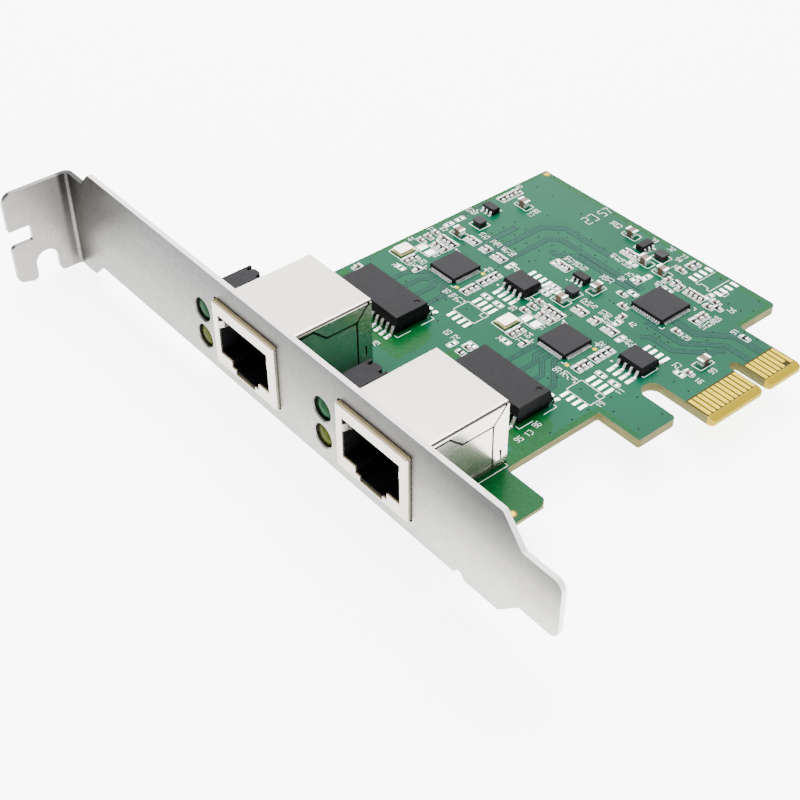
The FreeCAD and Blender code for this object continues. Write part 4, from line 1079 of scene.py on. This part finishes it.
def print_chips(bm, width):
    """Corner marks and first-lead dots of the leadless chips, the coils and the flash chips."""
    room = 0.75
    arm = 0.6
    for node in ("controller_1", "controller_2", "bridge_chip"):
        x0, x1, y0, y1 = sides(node)
        for x, dx in ((x0 - room, arm), (x1 + room, -arm)):
            for y, dy in ((y0 - room, arm), (y1 + room, -arm)):
                path(bm, [(x + dx, y), (x, y), (x, y + dy)], width, INK_HEIGHT)
        disc(bm, x0 - 1.1, y1 + 0.85, 0.22, INK_HEIGHT, corners=12)
    for number in (1, 2):
        x0, x1, y0, y1 = sides("transformer_%d" % number)
        for x, dx in ((x0 - 0.6, 0.8), (x1 + 0.6, -0.8)):
            for y, dy in ((y0 - 0.3, 2.7), (y1 + 0.3, -2.7)):
                path(bm, [(x + dx, y), (x, y), (x, y + dy)], width, INK_HEIGHT)
        x0, x1, y0, y1 = sides("flash_chip_%d" % number)
        print_box(bm, x0 - 0.25, x1 + 0.25, y0 + 0.35, y1 - 0.35, width)
        disc(bm, x0 - 0.7, y0 - 0.5, 0.2, INK_HEIGHT, corners=12)


def print_empty_chips(bm, width):
    """Outlines of the larger places that are left empty."""
    for shift in CHANNEL_SHIFTS:
        print_box(bm, -45.2 + shift, -40.2 + shift, -23.8, -20.5, width)
        corner = [(-41.3 + shift, -20.8), (-41.3 + shift, -21.6), (-40.5 + shift, -21.6)]
        path(bm, corner, width, INK_HEIGHT)
        print_box(bm, -62.7 + shift, -58.9 + shift, -17.4, -15.1, width)
    path(bm, [(-24.7, 16.5), (-24.7, 11.6), (-24.0, 11.6), (-24.0, 12.2), (-22.4, 12.2), (-22.4, 11.6),
              (-21.7, 11.6), (-21.7, 16.5)], width, INK_HEIGHT)
    path(bm, [(-13.1, -42.0), (-12.5, -42.0), (-12.5, -47.6)], width, INK_HEIGHT)


def print_numbers(bm, width, height):
    """The plain numbers that no part covers, and two larger ones."""
    boxes = occupied()
    places = [place for row in NUMBER_ROWS for place in number_row(*row)]
    for i, (x, y, quarter) in enumerate(places):
        if is_free(boxes, x, y, *turned(0.4, 0.75, quarter)):
            numeral(bm, str(11 + i * 7 % 89), x, y, height, quarter, width * 0.8)
    for text, x, y, share in (("23", -49.3, 11.8, 2.2), ("57", -49.2, 15.4, 1.9)):
        numeral(bm, text, x, y, height * share, 1, width * 0.9)


class CARD_OT_printing(bpy.types.Operator):
    """Print the white outlines and plain numbers on the board"""
    bl_idname = "card.printing"
    bl_label = "Print Outlines"

    def execute(self, context):
        printing = context.scene.card_printing
        width = printing.line_width / MM
        bm = bmesh.new()
        print_small_parts(bm, width)
        print_chips(bm, width)
        print_empty_chips(bm, width)
        print_numbers(bm, width, printing.numeral_height / MM)
        ink = printed_ink("printed_ink", context.scene.card_finishes.ink[:])
        finish_piece("white_printing", bm, ink)
        return {"FINISHED"}


def set_floor(glow):
    """Pale floor just under the card."""
    bm = bmesh.new()
    place_below = Matrix.Translation((-0.04, -0.03, CAD_BOX[0].z - 0.4 * MM))
    bmesh.ops.create_grid(bm, x_segments=1, y_segments=1, size=1.6, matrix=place_below)
    mesh = bpy.data.meshes.new("floor")
    bm.to_mesh(mesh)
    bm.free()
    floor = bpy.data.objects.new("floor", mesh)
    bpy.context.scene.collection.objects.link(floor)
    material, shader, tree = new_material("pale_floor")
    coat(tree, shader, (0.93, 0.93, 0.93), 0.9)
    feed(tree, (1.0, 1.0, 1.0), shader.inputs["Emission Color"])
    feed(tree, glow, shader.inputs["Emission Strength"])
    mesh.materials.append(material)


def set_light(name, centre, size, power):
    """Soft rectangular light that faces the middle of the card, all in metres and watts."""
    card_middle = Vector((-0.035, -0.03, 0.0))
    light = bpy.data.lights.new(name, "AREA")
    light.shape = "RECTANGLE"
    light.size, light.size_y = size
    light.energy = power
    holder = bpy.data.objects.new(name, light)
    holder.location = centre
    holder.rotation_mode = "QUATERNION"
    holder.rotation_quaternion = (card_middle - Vector(centre)).to_track_quat("-Z", "Y")
    bpy.context.scene.collection.objects.link(holder)


def set_camera(studio):
    """Camera that looks at its aim from the studio's angles and distance."""
    aim = Vector((-33.43, -44.67, 0.0)) * MM
    a, e, r = studio.azimuth, studio.elevation, studio.roll
    back = Vector((math.sin(a) * math.cos(e), -math.cos(a) * math.cos(e), math.sin(e)))
    right = Vector((math.cos(a), math.sin(a), 0))
    up = back.cross(right)
    leaned_right = right * math.cos(r) + up * math.sin(r)
    leaned_up = up * math.cos(r) - right * math.sin(r)
    camera = bpy.data.cameras.new("camera")
    camera.lens = studio.lens
    camera.sensor_width = 36
    camera.clip_start = 0.01
    camera.clip_end = 10
    holder = bpy.data.objects.new("camera", camera)
    turn = Matrix((leaned_right, leaned_up, back)).transposed().to_4x4()
    holder.matrix_world = Matrix.Translation(aim + back * studio.distance) @ turn
    bpy.context.scene.collection.objects.link(holder)
    bpy.context.scene.camera = holder


class CARD_OT_stage(bpy.types.Operator):
    """Set the pale floor, the soft lights and the camera"""
    bl_idname = "card.stage"
    bl_label = "Set Stage"

    def execute(self, context):
        studio = context.scene.card_studio
        set_floor(studio.floor_glow)
        set_light("key_light", (-0.16, 0.10, 0.55), (0.5, 0.5), studio.key_power)
        set_light("back_light", (-0.46, 0.32, 0.30), (0.8, 0.48), studio.back_power)
        set_light("side_light", (0.45, -0.45, 0.22), (0.4, 0.3), studio.key_power * 0.1)
        set_light("front_light", (-0.15, -0.5, 0.32), (0.7, 0.45), studio.key_power * 0.25)
        world = bpy.data.worlds.new("studio")
        world.use_nodes = True
        background = world.node_tree.nodes["Background"]
        background.inputs["Color"].default_value = (1, 1, 1, 1)
        background.inputs["Strength"].default_value = studio.sky
        context.scene.world = world
        set_camera(studio)
        return {"FINISHED"}


class CARD_PT_panel(bpy.types.Panel):
    """Settings and steps of the network card"""
    bl_idname = "CARD_PT_panel"
    bl_label = "Network Card"
    bl_space_type = "VIEW_3D"
    bl_region_type = "UI"
    bl_category = "Network Card"

    def draw(self, context):
        layout = self.layout
        for group in (context.scene.card_finishes, context.scene.card_printing,
                      context.scene.card_studio):
            column = layout.column(align=True)
            for name in group.bl_rna.properties.keys():
                if name not in ("rna_type", "name"):
                    column.prop(group, name)
        column = layout.column(align=True)
        for operator in STEPS:
            column.operator(operator.bl_idname)


STEPS = (CARD_OT_finishes, CARD_OT_lenses, CARD_OT_seam_shadows, CARD_OT_tracks, CARD_OT_vias,
         CARD_OT_bare_pads, CARD_OT_solder_fillets, CARD_OT_printing, CARD_OT_stage)
GROUPS = (CARD_PG_finishes, CARD_PG_printing, CARD_PG_studio)
CLASSES = GROUPS + STEPS + (CARD_PT_panel,)


def register():
    """Makes the classes known and hangs the settings on the scene."""
    for cls in CLASSES:
        bpy.utils.register_class(cls)
    bpy.types.Scene.card_finishes = bpy.props.PointerProperty(type=CARD_PG_finishes)
    bpy.types.Scene.card_printing = bpy.props.PointerProperty(type=CARD_PG_printing)
    bpy.types.Scene.card_studio = bpy.props.PointerProperty(type=CARD_PG_studio)


def unregister():
    """Takes the settings and the classes away again."""
    del bpy.types.Scene.card_studio
    del bpy.types.Scene.card_printing
    del bpy.types.Scene.card_finishes
    for cls in reversed(CLASSES):
        bpy.utils.unregister_class(cls)


def main():
    """Runs every step in order."""
    register()
    bpy.ops.card.finishes()
    bpy.ops.card.lenses()
    bpy.ops.card.seams()
    bpy.ops.card.tracks()
    bpy.ops.card.vias()
    bpy.ops.card.bare_pads()
    bpy.ops.card.solder_fillets()
    bpy.ops.card.printing()
    bpy.ops.card.stage()


if __name__ == "__main__":
    main()
